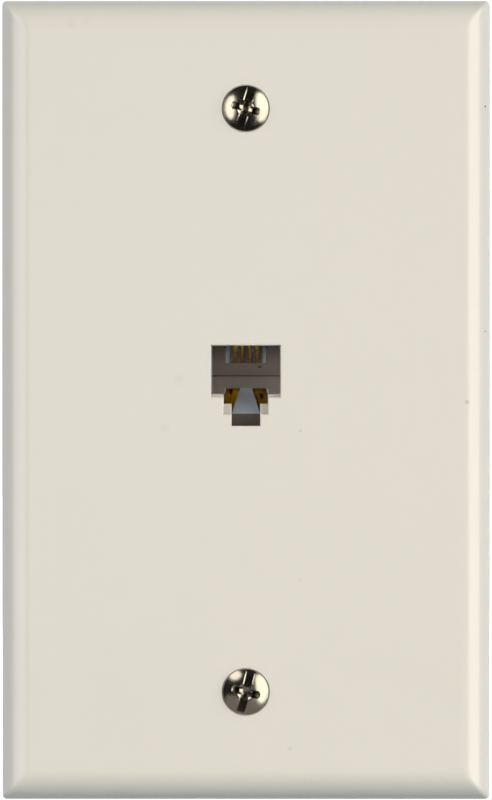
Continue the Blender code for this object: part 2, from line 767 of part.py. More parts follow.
def make_rear_cap():
    material = make_material("cap_plastic", GREY_PLASTIC, 0.5)
    side = HOUSING_HALF_WIDTH
    plate = box("rear_cap", -side, side, CAP_FRONT, CAP_REAR, HOUSING_BOTTOM, HOUSING_TOP)
    cap = add_object("rear_cap", plate, material)
    inside = CHAMBER_HALF_WIDTH - CLEARANCE
    low = CHAMBER_BOTTOM + CLEARANCE
    high = CHAMBER_TOP - CLEARANCE
    wall = CAP_LIP_WALL
    front = CAP_FRONT - CAP_LIP
    grow(cap, box("cap_lip", -inside, inside, front, CAP_FRONT + ROOT, low, high))
    cut(cap, box("cap_hollow", -inside + wall, inside - wall, front - OVERCUT, CAP_FRONT - ROOT,
                 low + wall, high - wall))
    for x in lead_positions():
        hole = cylinder("lead_hole", CRIMP_BORE, front - OVERCUT, CAP_REAR + OVERCUT, 14)
        cut(cap, hole, (x, 0, LEAD_EXIT_Z))


# Contact wires, tabs and leads

def contact_path(x, tab_x, end_z):
    # From the free tip in the comb, round the lip, along the roof and down to the tab
    tip = Vector((x, JACK_WALL_Y + WIRE_TIP_INSET, WIRE_TIP_Z))
    centre = Vector((x, WIRE_BEND_Y, WIRE_SLOPE_TOP + WIRE_BEND))
    fall = math.atan2(WIRE_SLOPE_TOP - WIRE_TIP_Z, tip.y - centre.y)
    path = [tip]
    steps = 9
    for step in range(steps + 1):
        angle = -math.pi / 2 - fall - (math.pi - fall) * step / steps
        offset = Vector((0, math.cos(angle), math.sin(angle))) * WIRE_BEND
        path.append(centre + offset)
    turn = Vector((x, WIRE_DROP_Y - WIRE_BEND, WIRE_TOP_Z - WIRE_BEND))
    for step in range(5):
        angle = math.pi / 2 * (1 - step / 4)
        path.append(turn + Vector((0, math.cos(angle), math.sin(angle))) * WIRE_BEND)
    start = path[-1]
    end = Vector((tab_x, WIRE_DROP_Y, end_z))
    knee = start - Vector((0, 0, WIRE_BEND))
    heel = Vector((tab_x, WIRE_DROP_Y, end_z + WIRE_BEND))
    return path[:-1] + bent_route([start, knee, heel, end], WIRE_BEND, 4)


def make_contact_wires():
    material = make_material("gold_wire", GOLD, 0.25, 1.0)
    outer_x = OUTER_TAB_X - WIRE_OUTER_INSET
    inner_x = INNER_TAB_X - WIRE_INNER_INSET
    outer_z = INNER_TAB_TOP + WIRE_OUTER_RISE
    inner_z = CRIMP_BOTTOM + CRIMP_LENGTH + CLEARANCE
    ends = ((-outer_x, outer_z), (-inner_x, inner_z), (inner_x, inner_z), (outer_x, outer_z))
    for number, (x, (tab_x, end_z)) in enumerate(zip(wire_positions(), ends), 1):
        tube("contact_wire_" + str(number), contact_path(x, tab_x, end_z), WIRE_RADIUS, material, 1)


def lead_x(side, row):
    return side * (INNER_LEAD_X if row == "inner" else OUTER_TAB_X)


def lead_positions():
    return [lead_x(side, row) for _, side, row, _ in LINES]


def make_solder_tabs():
    material = make_material("brass", BRASS, 0.28, 1.0)
    for colour, side, row, _ in LINES:
        if row == "inner":
            middle, width, bottom, top = INNER_TAB_X, INNER_TAB_WIDTH, INNER_TAB_BOTTOM, INNER_TAB_TOP
        else:
            middle, width, bottom, top = OUTER_TAB_X, OUTER_TAB_WIDTH, OUTER_TAB_BOTTOM, OUTER_TAB_TOP
        x = side * middle
        centre = (x, (top + bottom) / 2)
        outline = rounded_rectangle(width / 2, (top - bottom) / 2, TAB_CORNER, 2, centre)
        tab = add_object("solder_tab_" + colour, prism("tab", outline, TAB_FRONT, TAB_REAR), material)
        crimp = crimp_sleeve(CRIMP_RADIUS)
        grow(tab, crimp, (lead_x(side, row), LEAD_Y, 0))
        bore = upright_cylinder("crimp_bore", CRIMP_BORE, CRIMP_BOTTOM - OVERCUT,
                                CRIMP_BOTTOM + CRIMP_LENGTH + OVERCUT, 14)
        cut(tab, bore, (lead_x(side, row), LEAD_Y, 0))
        for pin_x, pin_z in tab_pins():
            if abs(pin_x - x) < width / 2:
                hole = cylinder("pin_hole", TAB_PIN / 2 + CLEARANCE / 2, TAB_FRONT - OVERCUT,
                                TAB_REAR + OVERCUT, 10)
                cut(tab, hole, (pin_x, 0, pin_z))
        if row == "inner":
            hole = cylinder("sight_hole", TAB_HOLE / 2, TAB_FRONT - OVERCUT, TAB_REAR + OVERCUT, 16)
            cut(tab, hole, (lead_x(side, row), 0, SPOT_Z[colour]))


def upright_cylinder(name, radius, z0, z1, segments):
    outline = arc((0, 0), radius, 0, 2 * math.pi * (1 - 1 / segments), segments - 1)
    return upright_prism(name, outline, z0, z1)


def crimp_sleeve(radius):
    return upright_cylinder("crimp", radius, CRIMP_BOTTOM, CRIMP_BOTTOM + CRIMP_LENGTH, 18)


def lug_angle(side, rise):
    # Each lug points from its screw toward the jack at 45 degrees
    heading = Vector((-side, 0, -rise)).normalized()
    return heading


def post_place(side, rise):
    return Vector((side * POST_X, 0, BLOCK_Z + rise * POST_RISE))


def lead_path(side, row, rise):
    x = lead_x(side, row)
    path = [Vector((x, LEAD_Y, CRIMP_BOTTOM + CRIMP_LENGTH - LEAD_GAP))]
    centre = Vector((x, LEAD_Y + LEAD_BEND, LEAD_EXIT_Z + LEAD_BEND))
    for step in range(6):
        angle = math.pi + math.pi / 2 * step / 5
        path.append(centre + Vector((0, math.cos(angle), math.sin(angle))) * LEAD_BEND)
    out = Vector((x, CAP_REAR + 1.6 * LEAD_DIAMETER, LEAD_EXIT_Z))
    heading = lug_angle(side, rise)
    post = post_place(side, rise)
    barrel_y = LUG_FRONT + LUG_BARREL_RADIUS
    end = post + heading * (LUG_BARREL_START + LEAD_INSERT) + Vector((0, barrel_y, 0))
    mouth = post + heading * (LUG_BARREL_START + LUG_BARREL_LENGTH) + Vector((0, barrel_y, 0))
    loose = mouth + Vector((heading.x, 0.35, heading.z)) * LEAD_DIAMETER
    high = mouth + Vector((2.2 * heading.x, 3.0, 2.2 * heading.z)) * LEAD_DIAMETER
    # An inner lead dips under its outer neighbour on the way to the lower terminal
    dip = 2.8 if row == "inner" else 1.0
    swing = (out + high) / 2 + Vector((0.8 * side, 1.8, dip * rise)) * LEAD_DIAMETER
    route = [path[-1], out, swing, high, loose, mouth, end]
    return path[:-1] + bent_route(route, LEAD_REACH, 4)


def make_leads():
    for colour, side, row, rise in LINES:
        material = make_material("lead_" + colour, LEAD_COLOURS[colour], 0.4)
        tube("lead_" + colour, lead_path(side, row, rise), LEAD_DIAMETER / 2, material)


# Terminal block and its hardware

def make_terminal_block():
    material = make_material("ivory_plastic", IVORY_PLASTIC, 0.5)
    outline = rounded_rectangle(BLOCK_WIDTH / 2, BLOCK_HEIGHT / 2, BLOCK_CORNER, 4, (0, BLOCK_Z))
    block = add_object("terminal_block", prism("block_base", outline, BLOCK_FRONT, BLOCK_REAR), material)
    inside = HOUSING_HALF_WIDTH + CLEARANCE
    low = HOUSING_BOTTOM - CLEARANCE
    high = HOUSING_TOP + CLEARANCE
    wall = TOWER_WALL
    grow(block, box("tower", -inside - wall, inside + wall, TOWER_FRONT, TOWER_REAR,
                    low - wall, high + wall))
    for side in (-1, 1):
        for rise in (-1, 1):
            place = post_place(side, rise)
            grow(block, cylinder("post", POST_DIAMETER / 2, BLOCK_REAR - ROOT, POST_TOP, 28), place)
            add_web(block, side, rise)
            pocket = INSERT_DIAMETER / 2 + CLEARANCE / 2
            cut(block, cylinder("pocket", pocket, POST_TOP - INSERT_LENGTH - CLEARANCE,
                                POST_TOP + OVERCUT, 24), place)
            relief = TERMINAL_SEAT - TERMINAL_SCREW_LENGTH - CLEARANCE
            cut(block, cylinder("relief", SCREW_SHANK / 2 + CLEARANCE, relief,
                                POST_TOP, 16), place)
        screw_place = (side * POST_X, 0, BLOCK_Z)
        cut(block, cylinder("screw_hole", BLOCK_SCREW_HOLE / 2, BLOCK_FRONT - OVERCUT,
                            BLOCK_REAR + OVERCUT, 18), screw_place)
    cut(block, box("tower_inside", -inside, inside, TOWER_FRONT - OVERCUT, TOWER_REAR + OVERCUT,
                   low, high))


def add_web(block, side, rise):
    # A low web ties each post to the tower
    post = post_place(side, rise)
    corner_x = side * (HOUSING_HALF_WIDTH + CLEARANCE + TOWER_WALL - ROOT)
    half = WEB_WALL / 2
    x0, x1 = sorted((corner_x, post.x - side * (POST_DIAMETER / 2 - 2 * ROOT)))
    z = post.z - rise * POST_DIAMETER / 4
    grow(block, box("web", x0, x1, BLOCK_REAR - ROOT, BLOCK_REAR + WEB_HEIGHT, z - half, z + half))


def make_threaded_inserts(material):
    outline = []
    for index in range(INSERT_TEETH * 2):
        angle = math.pi * index / INSERT_TEETH
        radius = INSERT_DIAMETER / 2 - (index % 2) * INSERT_KNURL
        outline.append((radius * math.cos(angle), radius * math.sin(angle)))
    for name, place in terminal_places():
        body = prism("insert", outline, POST_TOP - INSERT_LENGTH, POST_TOP)
        insert = add_object("threaded_insert_" + name, body, material, place)
        cut(insert, cylinder("insert_bore", INSERT_BORE / 2, POST_TOP - INSERT_LENGTH - OVERCUT,
                             POST_TOP + OVERCUT, 16))


def terminal_places():
    return [(colour, post_place(side, rise)) for colour, side, _, rise in LINES]


def lug_outline():
    slot = LUG_SLOT / 2
    half = LUG_WIDTH / 2
    tip = (half - slot) / 2
    points = arc((0, 0), slot, -math.pi / 2, math.pi / 2, 8)
    points += arc((-LUG_TIP + tip, slot + tip), tip, -math.pi / 2, -3 * math.pi / 2, 5)
    points += [(LUG_NECK, half), (LUG_BARREL_START - LUG_NECK / 2, LUG_NECK)]
    points += [(LUG_BARREL_START + ROOT * 3, LUG_NECK * 0.7), (LUG_BARREL_START + ROOT * 3, -LUG_NECK * 0.7)]
    points += [(LUG_BARREL_START - LUG_NECK / 2, -LUG_NECK), (LUG_NECK, -half)]
    points += arc((-LUG_TIP + tip, -slot - tip), tip, 3 * math.pi / 2, math.pi / 2, 5)
    return points


def make_fork_lugs(material):
    for colour, side, _, rise in LINES:
        heading = lug_angle(side, rise)
        turn = math.atan2(-heading.z, heading.x)
        body = prism("fork_lug", lug_outline(), LUG_FRONT, LUG_FRONT + LUG_THICKNESS)
        lug = add_object("fork_lug_" + colour, body, material, post_place(side, rise), turn)
        end = LUG_BARREL_START + LUG_BARREL_LENGTH
        sleeve = lying_cylinder("lug_barrel", LUG_BARREL_RADIUS, LUG_BARREL_START, end, 18)
        centre = (0, LUG_FRONT + LUG_BARREL_RADIUS, 0)
        grow(lug, sleeve, centre)
        bore = lying_cylinder("lug_bore", LUG_BARREL_RADIUS - LUG_BARREL_WALL,
                              LUG_BARREL_START - OVERCUT, end + OVERCUT, 14)
        cut(lug, bore, centre)


def lying_cylinder(name, radius, x0, x1, segments):
    # A cylinder along X
    mesh = cylinder(name, radius, x0, x1, segments)
    mesh.transform(Matrix.Rotation(-math.pi / 2, 4, "Z"))
    return mesh


def make_washers(material):
    for name, place in terminal_places():
        body = ring("washer", WASHER_DIAMETER / 2, WASHER_BORE / 2, WASHER_FRONT,
                    WASHER_FRONT + WASHER_THICKNESS, 24)
        add_object("terminal_washer_" + name, body, material, place)


def terminal_screw_profile():
    seat = TERMINAL_SEAT
    head = TERMINAL_HEAD / 2
    shank = SCREW_SHANK / 2
    top = seat + TERMINAL_HEAD_HEIGHT
    tip = seat - TERMINAL_SCREW_LENGTH
    edge = head * 0.22
    profile = [(0, tip), (shank - SCREW_POINT / 2, tip), (shank, tip + SCREW_POINT / 2)]
    profile += [(shank, seat), (head * 0.97, seat), (head, seat + edge / 2), (head, top - edge)]
    profile += [(head - edge * 0.3, top - edge * 0.3), (head - edge, top), (0, top)]
    return profile


def make_terminal_screws(material):
    top = TERMINAL_SEAT + TERMINAL_HEAD_HEIGHT
    for index, (name, place) in enumerate(terminal_places()):
        turn = math.radians(25 + 40 * index)
        body = revolved("terminal_screw", terminal_screw_profile(), 24)
        screw = add_object("terminal_screw_" + name, body, material, place, turn)
        half = TERMINAL_SLOT_WIDTH / 2
        cut(screw, box("slot", -half, half, top - TERMINAL_SLOT_DEPTH, top + OVERCUT,
                       -TERMINAL_HEAD, TERMINAL_HEAD))


def make_block_screws(material):
    seat = BLOCK_REAR + CLEARANCE
    head = BLOCK_SCREW_HEAD / 2
    core = BLOCK_SCREW_CORE / 2
    top = seat + BLOCK_SCREW_HEAD_HEIGHT
    tip = seat - BLOCK_SCREW_LENGTH
    profile = [(0, tip), (core * 0.3, tip), (core, tip + core * 1.4), (core, seat), (head, seat)]
    profile += [(head, top - head * 0.45), (head * 0.82, top - head * 0.12), (head * 0.5, top), (0, top)]
    for name, side in (("left", -1), ("right", 1)):
        body = revolved("block_screw", profile, 24)
        place = (side * POST_X, 0, BLOCK_Z)
        screw = add_object("block_screw_" + name, body, material, place, math.radians(30 * side))
        outer = cross_outline(CROSS_SPAN * 0.75, CROSS_WING * 0.8)
        inner = cross_outline(CROSS_SPAN * 0.35, CROSS_WING * 0.6)
        cut(screw, loft("block_cross", ((outer, top + OVERCUT), (inner, seat + core * 0.5))))


def main():
    clear_scene()
    root = add_object("telephone_wall_socket", None)
    make_wall_plate()
    make_mounting_screws()
    make_jack_housing()
    make_wire_retainer()
    make_rear_cap()
    make_contact_wires()
    make_solder_tabs()
    make_leads()
    make_terminal_block()
    brass = make_material("insert_brass", BRASS, 0.3, 1.0)
    make_threaded_inserts(brass)
    make_fork_lugs(make_material("tinned_copper", TIN, 0.3, 1.0))
    zinc = make_material("zinc_plate", ZINC, 0.3, 1.0)
    make_washers(zinc)
    make_terminal_screws(zinc)
    make_block_screws(zinc)
    for item in bpy.data.objects:
        if item is not root and item.parent is None:
            item.parent = root


main()
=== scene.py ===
from math import asin, atan2, cos, hypot, pi, radians, sin, sqrt, tan

import bmesh
import bpy
from mathutils import Matrix, Vector


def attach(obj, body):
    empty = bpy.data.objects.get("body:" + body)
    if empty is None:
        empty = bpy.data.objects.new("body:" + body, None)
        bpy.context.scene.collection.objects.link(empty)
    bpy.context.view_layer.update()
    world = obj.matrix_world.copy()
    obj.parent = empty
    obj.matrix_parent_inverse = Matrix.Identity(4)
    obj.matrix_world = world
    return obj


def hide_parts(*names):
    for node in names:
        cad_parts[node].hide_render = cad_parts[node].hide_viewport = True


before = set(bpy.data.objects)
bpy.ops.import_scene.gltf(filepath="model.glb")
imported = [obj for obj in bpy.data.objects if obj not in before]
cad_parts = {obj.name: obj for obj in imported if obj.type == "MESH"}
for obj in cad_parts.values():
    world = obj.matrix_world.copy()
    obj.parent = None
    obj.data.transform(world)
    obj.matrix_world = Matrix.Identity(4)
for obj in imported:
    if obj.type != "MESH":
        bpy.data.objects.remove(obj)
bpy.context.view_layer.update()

mm = 0.001
faceY = -5.6 * mm   # front of the cover plate
innerY = -3.4 * mm   # back of its wall
screwZ = 41.67 * mm   # height of the upper mounting screw
overcut = 0.5 * mm   # how far a cutting shape passes the surface it opens
print("scene: frame loaded")


def lengths(**values):
    # millimetres, alone or in tuples, turned to metres
    def scaled(value):
        return tuple(map(scaled, value)) if isinstance(value, tuple) else value * mm

    return {label: scaled(value) for label, value in values.items()}


# Mesh helpers

def plainMesh(bm, name):
    mesh = bpy.data.meshes.new(name)
    bm.to_mesh(mesh)
    bm.free()
    return mesh


def finishMesh(bm, name, sharp=32):
    bmesh.ops.remove_doubles(bm, verts=bm.verts, dist=1e-7)
    bmesh.ops.recalc_face_normals(bm, faces=bm.faces)
    mesh = plainMesh(bm, name)
    mesh.shade_smooth()
    mesh.set_sharp_from_angle(angle=radians(sharp))
    return mesh


def bevelEdges(bm, edges, width, segments=2):
    bmesh.ops.bevel(bm, geom=edges, offset=width, segments=segments, profile=0.5, affect="EDGES",
                    clamp_overlap=False, material=-1)


def quarterTurn(bm, axis="X"):
    bmesh.ops.rotate(bm, verts=bm.verts, cent=(0, 0, 0), matrix=Matrix.Rotation(pi / 2, 3, axis))


def boxShape(size, centre):
    bm = bmesh.new()
    bmesh.ops.create_cube(bm, size=1)
    bmesh.ops.scale(bm, vec=size, verts=bm.verts)
    bmesh.ops.translate(bm, vec=centre, verts=bm.verts)
    return bm


def blockMesh(x0, x1, y0, y1, z0, z1, rounding=0.0):
    bm = boxShape((x1 - x0, y1 - y0, z1 - z0), ((x0 + x1) / 2, (y0 + y1) / 2, (z0 + z1) / 2))
    if rounding:
        bevelEdges(bm, bm.edges[:], rounding)
    return finishMesh(bm, "block")


def coneMesh(nearRadius, farRadius, y0, y1, segments, x=0.0, z=0.0):
    bm = bmesh.new()
    bmesh.ops.create_cone(bm, cap_ends=True, segments=segments,
                          radius1=farRadius, radius2=nearRadius, depth=y1 - y0)
    quarterTurn(bm)
    bmesh.ops.translate(bm, vec=(x, (y0 + y1) / 2, z), verts=bm.verts)
    return finishMesh(bm, "disk")


def turnedMesh(profile, segments):
    # radius and Y, turned about the Y axis
    bm = bmesh.new()
    verts = [bm.verts.new((radius, y, 0)) for radius, y in profile]
    edges = [bm.edges.new(pair) for pair in zip(verts, verts[1:])]
    bmesh.ops.spin(bm, geom=verts + edges, cent=(0, 0, 0), axis=(0, 1, 0),
                   angle=2 * pi, steps=segments, use_merge=True)
    return finishMesh(bm, "turned")


def firstFace(items):
    return next(item for item in items if isinstance(item, bmesh.types.BMFace))


def extrudeFace(bm, face, move, scale=(1, 1, 1)):
    out = bmesh.ops.extrude_face_region(bm, geom=[face, *face.edges, *face.verts])
    verts = [item for item in out["geom"] if isinstance(item, bmesh.types.BMVert)]
    bmesh.ops.scale(bm, vec=scale, verts=verts)
    bmesh.ops.translate(bm, vec=move, verts=verts)
    return firstFace(out["geom"])


def outlineMesh(points, y0, y1):
    bm = bmesh.new()
    face = bm.faces.new([bm.verts.new((x, y0, z)) for x, z in points])
    extrudeFace(bm, face, (0, y1 - y0, 0))
    return finishMesh(bm, "outline")


def mirrored(half):
    return half + [(-x, z) for x, z in reversed(half)]


def show(item):
    bpy.context.scene.collection.objects.link(item)
    return item


def bakedMesh(helpers):
    # the first helper with its modifiers applied; the helpers don't stay in the scene
    for helper in helpers:
        show(helper)
    bpy.context.view_layer.update()
    graph = bpy.context.evaluated_depsgraph_get()
    mesh = bpy.data.meshes.new_from_object(helpers[0].evaluated_get(graph))
    for helper in helpers:
        bpy.data.objects.remove(helper, do_unlink=True)
    return mesh


def carve(mesh, tools, operation="DIFFERENCE"):
    helpers = [bpy.data.objects.new("carveBase", mesh)]
    for tool in tools:
        helpers.append(bpy.data.objects.new("carveTool", tool))
        step = helpers[0].modifiers.new("step", "BOOLEAN")
        step.operation = operation
        step.solver = "EXACT"
        step.object = helpers[-1]
    return bakedMesh(helpers)


def soften(mesh, width, name, segments=2, angle=35, where=None, sharp=32):
    # rounds the sharp edges that pass the test
    bm = bmesh.new()
    bm.from_mesh(mesh)
    bmesh.ops.remove_doubles(bm, verts=bm.verts, dist=1e-6)
    bmesh.ops.dissolve_limit(bm, angle_limit=radians(0.6), verts=bm.verts, edges=bm.edges)
    limit = radians(angle)
    edges = []
    for edge in bm.edges:
        if len(edge.link_faces) == 2 and edge.calc_face_angle(0) > limit:
            if where is None or all(where(vert.co) for vert in edge.verts):
                edges.append(edge)
    bevelEdges(bm, edges, width, segments)
    return finishMesh(bm, name, sharp)


def cadCopy(node, width, flush=None):
    # points a hair off the flush Y are drawn to it, so that no sliver is left to round
    bm = bmesh.new()
    bm.from_mesh(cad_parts[node].data)
    for vert in bm.verts:
        if flush is not None and abs(vert.co.y - flush) < 0.02 * mm:
            vert.co.y = flush
    bmesh.ops.remove_doubles(bm, verts=bm.verts, dist=1e-6 if flush is None else 4e-6)
    return soften(plainMesh(bm, node + "Copy"), width, node + "Soft")


def joinMeshes(meshes, name):
    bm = bmesh.new()
    for mesh in meshes:
        bm.from_mesh(mesh)
    return plainMesh(bm, name)


def addPiece(name, mesh, material, stands=()):
    piece = show(bpy.data.objects.new(name, mesh))
    mesh.materials.clear()
    mesh.materials.append(material)
    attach(piece, "root")
    if stands:
        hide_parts(*stands)
    return piece


def addCopies(nodes, material, width, flush=None):
    for node in nodes:
        words = node.split("_")
        label = words[0] + "".join(word.capitalize() for word in words[1:])
        addPiece(label, cadCopy(node, width, flush), material, [node])


def arcPoints(centre, radius, start, sweep, steps):
    # an arc in the YZ plane
    angles = [start + sweep * step / steps for step in range(steps + 1)]
    return [centre + Vector((0, cos(angle), sin(angle))) * radius for angle in angles]


def bentRoute(points, reach, steps):
    # straight runs joined by round bends
    path = [points[0]]
    for index in range(1, len(points) - 1):
        before, corner, after = points[index - 1:index + 2]
        heading = (corner - before).normalized()
        leaving = (after - corner).normalized()
        turn = heading.angle(leaving)
        roomIn = (corner - before).length * (0.5 if index > 1 else 0.95)
        roomOut = (after - corner).length * (0.5 if index < len(points) - 2 else 0.95)
        cutback = min(reach, roomIn, roomOut)
        radius = cutback / tan(turn / 2)
        inward = (leaving - heading * cos(turn)).normalized()
        start = corner - heading * cutback
        for step in range(steps + 1):
            angle = turn * step / steps
            path.append(start + heading * radius * sin(angle) + inward * radius * (1 - cos(angle)))
    path.append(points[-1])
    return path


def tubeMesh(path, radius, resolution, name):
    curve = bpy.data.curves.new(name, "CURVE")
    curve.dimensions = "3D"
    curve.bevel_depth = radius
    curve.bevel_resolution = resolution
    curve.use_fill_caps = True
    spline = curve.splines.new("POLY")
    spline.points.add(len(path) - 1)
    for point, place in zip(spline.points, path):
        point.co = (*place, 1.0)
    bm = bmesh.new()
    bm.from_mesh(bakedMesh([bpy.data.objects.new(name, curve)]))
    return finishMesh(bm, name, 40)


# Node helpers

def feed(tree, value, socket):
    if isinstance(value, bpy.types.NodeSocket):
        tree.links.new(value, socket)
    elif value is not None:
        socket.default_value = value


def addNode(tree, kind, inputs, output=0, **settings):
    node = tree.nodes.new("ShaderNode" + kind)
    for label, value in settings.items():
        setattr(node, label, value)
    for label, value in inputs.items():
        feed(tree, value, node.inputs[label])
    return node.outputs if output is None else node.outputs[output]


def mathNode(tree, operation, first, second=None, third=None):
    return addNode(tree, "Math", {0: first, 1: second, 2: third}, operation=operation)


def product(tree, first, second):
    return mathNode(tree, "MULTIPLY", first, second)


def vectorNode(tree, operation, first, second=None, output="Vector"):
    return addNode(tree, "VectorMath", {0: first, 1: second}, output, operation=operation)


def noiseNode(tree, vector, scale, detail=2.0, roughness=0.5, distortion=0.0):
    return addNode(tree, "TexNoise", {"Vector": vector, "Scale": scale, "Detail": detail,
                                      "Roughness": roughness, "Distortion": distortion})


def rangeNode(tree, value, fromLow, fromHigh, toLow=0.0, toHigh=1.0, ease="LINEAR"):
    return addNode(tree, "MapRange", {"Value": value, "From Min": fromLow, "From Max": fromHigh,
                                      "To Min": toLow, "To Max": toHigh}, "Result", interpolation_type=ease)


def mixColour(tree, factor, first, second):
    first, second = ((*value, 1.0) if isinstance(value, tuple) else value for value in (first, second))
    return addNode(tree, "Mix", {0: factor, 6: first, 7: second}, 2, data_type="RGBA")


def axisParts(tree, vector):
    return addNode(tree, "SeparateXYZ", {0: vector}, None)


def coordinate(tree, kind="Object"):
    return addNode(tree, "TexCoord", {}, kind)


def newGroup(name, inputs, outputs=("Mask",)):
    group = bpy.data.node_groups.new(name, "ShaderNodeTree")
    for label, value in inputs.items():
        kind = "NodeSocketFloat" if isinstance(value, float) else "NodeSocketVector"
        socket = group.interface.new_socket(label, in_out="INPUT", socket_type=kind)
        if value is not None:
            socket.default_value = value
    for label in outputs:
        group.interface.new_socket(label, in_out="OUTPUT", socket_type="NodeSocketFloat")
    return group, group.nodes.new("NodeGroupInput").outputs, group.nodes.new("NodeGroupOutput").inputs


def endMask(tree, mask, entry, leave):
    feed(tree, product(tree, mask, entry["Share"]), leave["Mask"])
    return tree


def useGroup(tree, group, **values):
    return addNode(tree, "Group", values, None, node_tree=group)


def newMaterial(name):
    material = bpy.data.materials.new(name)
    material.use_nodes = True
    tree = material.node_tree
    return material, tree, tree.nodes["Principled BSDF"]


# Effects that several finishes share

effects = {
    "broadScale": 0.055, "scratchAngles": (24, 81, 147), "scratchDrawn": (1, 1, 0.035),
    "scratchCut": (0.685, 0.735), "wearTurn": (0.995, 0.86), "wearScale": 1400.0, "wearCut": (0.35, 0.62),
    "dustRise": (0.25, 0.95), "dustCut": (0.42, 0.66), "spotScale": 2600.0,
}


def makeGrain():
    tree, entry, leave = newGroup("surfaceGrain", {"Vector": None, "Scale": 900.0}, ("Fine", "Broad"))
    fine = noiseNode(tree, entry["Vector"], entry["Scale"], detail=3.0, roughness=0.6)
    broadScale = product(tree, entry["Scale"], effects["broadScale"])
    broad = noiseNode(tree, entry["Vector"], broadScale, detail=4.0, roughness=0.55, distortion=0.4)
    feed(tree, fine, leave["Fine"])
    feed(tree, broad, leave["Broad"])
    return tree


def makeScratches():
    tree, entry, leave = newGroup("scratchLines", {"Vector": None, "Scale": 700.0, "Share": 0.5})
    total = 0.0
    for angle in effects["scratchAngles"]:
        turn = (0, radians(angle), 0)
        turned = addNode(tree, "Mapping", {"Vector": entry["Vector"], "Rotation": turn})
        drawn = addNode(tree, "Mapping", {"Vector": turned, "Scale": effects["scratchDrawn"],
                                          "Location": (angle * 0.01, 0, angle * 0.003)})
        line = noiseNode(tree, drawn, entry["Scale"], detail=1.0)
        total = mathNode(tree, "MAXIMUM", rangeNode(tree, line, *effects["scratchCut"]), total)
    return endMask(tree, total, entry, leave)


def makeEdgeWear():
    tree, entry, leave = newGroup("edgeWear", {"Vector": None, "Radius": 0.0002, "Share": 1.0})
    rounded = addNode(tree, "Bevel", {"Radius": entry["Radius"]}, samples=4)
    plain = addNode(tree, "NewGeometry", {}, "Normal")
    match = vectorNode(tree, "DOT_PRODUCT", rounded, plain, "Value")
    turned = rangeNode(tree, match, *effects["wearTurn"])
    patches = noiseNode(tree, entry["Vector"], effects["wearScale"], detail=3.0)
    worn = product(tree, turned, rangeNode(tree, patches, *effects["wearCut"]))
    return endMask(tree, worn, entry, leave)


def makeDust():
    tree, entry, leave = newGroup("dustFilm", {"Vector": None, "Scale": 400.0, "Share": 0.3})
    upward = rangeNode(tree, axisParts(tree, coordinate(tree, "Normal"))["Z"], *effects["dustRise"])
    speckle = noiseNode(tree, entry["Vector"], entry["Scale"], detail=5.0, roughness=0.7)
    film = product(tree, upward, rangeNode(tree, speckle, *effects["dustCut"]))
    return endMask(tree, film, entry, leave)


def makeSpot():
    values = {"Vector": None, "Centre": (0, 0, 0), "Radius": 0.0005, "Blur": 0.0003, "Share": 1.0}
    tree, entry, leave = newGroup("spotMark", values)
    reach = vectorNode(tree, "DISTANCE", entry["Vector"], entry["Centre"], "Value")
    uneven = mathNode(tree, "SUBTRACT", noiseNode(tree, entry["Vector"], effects["spotScale"]), 0.5)
    ragged = mathNode(tree, "MULTIPLY_ADD", uneven, entry["Blur"], reach)
    outer = mathNode(tree, "ADD", entry["Radius"], entry["Blur"])
    mask = rangeNode(tree, ragged, outer, entry["Radius"], ease="SMOOTHSTEP")
    return endMask(tree, mask, entry, leave)


surfaceGrain = makeGrain()
scratchLines = makeScratches()
edgeWear = makeEdgeWear()
dustFilm = makeDust()
spotMark = makeSpot()


# Finishes

def finishLooks(base, rows):
    # a row gives roughness, colour, shade and worn colour, and then what differs from the base
    looks = {}
    for name, (rough, colour, shade, worn, changes) in rows.items():
        looks[name] = {**base, "rough": rough, "colour": colour, "shade": shade, "worn": worn, **changes}
    return looks


plasticBase = {"shine": 0.5, "grain": 3000.0, "bump": 0.1, "scratch": 0.3, "edge": 0.1 * mm, "dust": 0.2}
plasticLooks = finishLooks(plasticBase, {
    "almondPlastic": (0.20, (0.811, 0.765, 0.659), (0.802, 0.757, 0.651), (0.84, 0.81, 0.72), {
        "shine": 1.0, "grain": 1500.0, "bump": 0.03, "scratch": 0.04, "edge": 0.25 * mm, "dust": 0.03,
        # painted shade: the last colour darkens the plate towards its upper end
        "aged": (0.769, 0.725, 0.625), "agedZ": (-57 * mm, 57 * mm)}),
    "greyPlastic": (0.42, (0.51, 0.50, 0.48), (0.47, 0.46, 0.44), (0.71, 0.70, 0.68), {
        "shine": 0.35, "grain": 2600.0, "bump": 0.12, "scratch": 0.2, "edge": 0.12 * mm, "dust": 0.1}),
    # painted light: the insert's grey plastic, painted lighter and bluer as if lit, for the comb guides, comb
    # teeth and corner webs
    "guidePlastic": (0.35, (0.86, 0.92, 0.98), (0.80, 0.86, 0.92), (0.9, 0.93, 0.96), {
        "grain": 2600.0, "bump": 0.08, "scratch": 0.1, "edge": 0.12 * mm, "dust": 0.05}),
    "ivoryPlastic": (0.46, (0.66, 0.605, 0.49), (0.58, 0.525, 0.415), (0.76, 0.72, 0.62), {
        "grain": 1700.0, "bump": 0.14, "scratch": 0.35, "edge": 0.3 * mm, "dust": 0.3}),
    "blackInsulation": (0.38, (0.016, 0.016, 0.018), (0.028, 0.028, 0.03), (0.07, 0.07, 0.07), {"dust": 0.25}),
    "redInsulation": (0.38, (0.36, 0.016, 0.014), (0.27, 0.010, 0.010), (0.5, 0.07, 0.05), {}),
    "greenInsulation": (0.38, (0.012, 0.085, 0.028), (0.009, 0.058, 0.018), (0.05, 0.2, 0.1), {}),
    "yellowInsulation": (0.38, (0.67, 0.45, 0.03), (0.58, 0.37, 0.02), (0.8, 0.6, 0.15), {}),
})

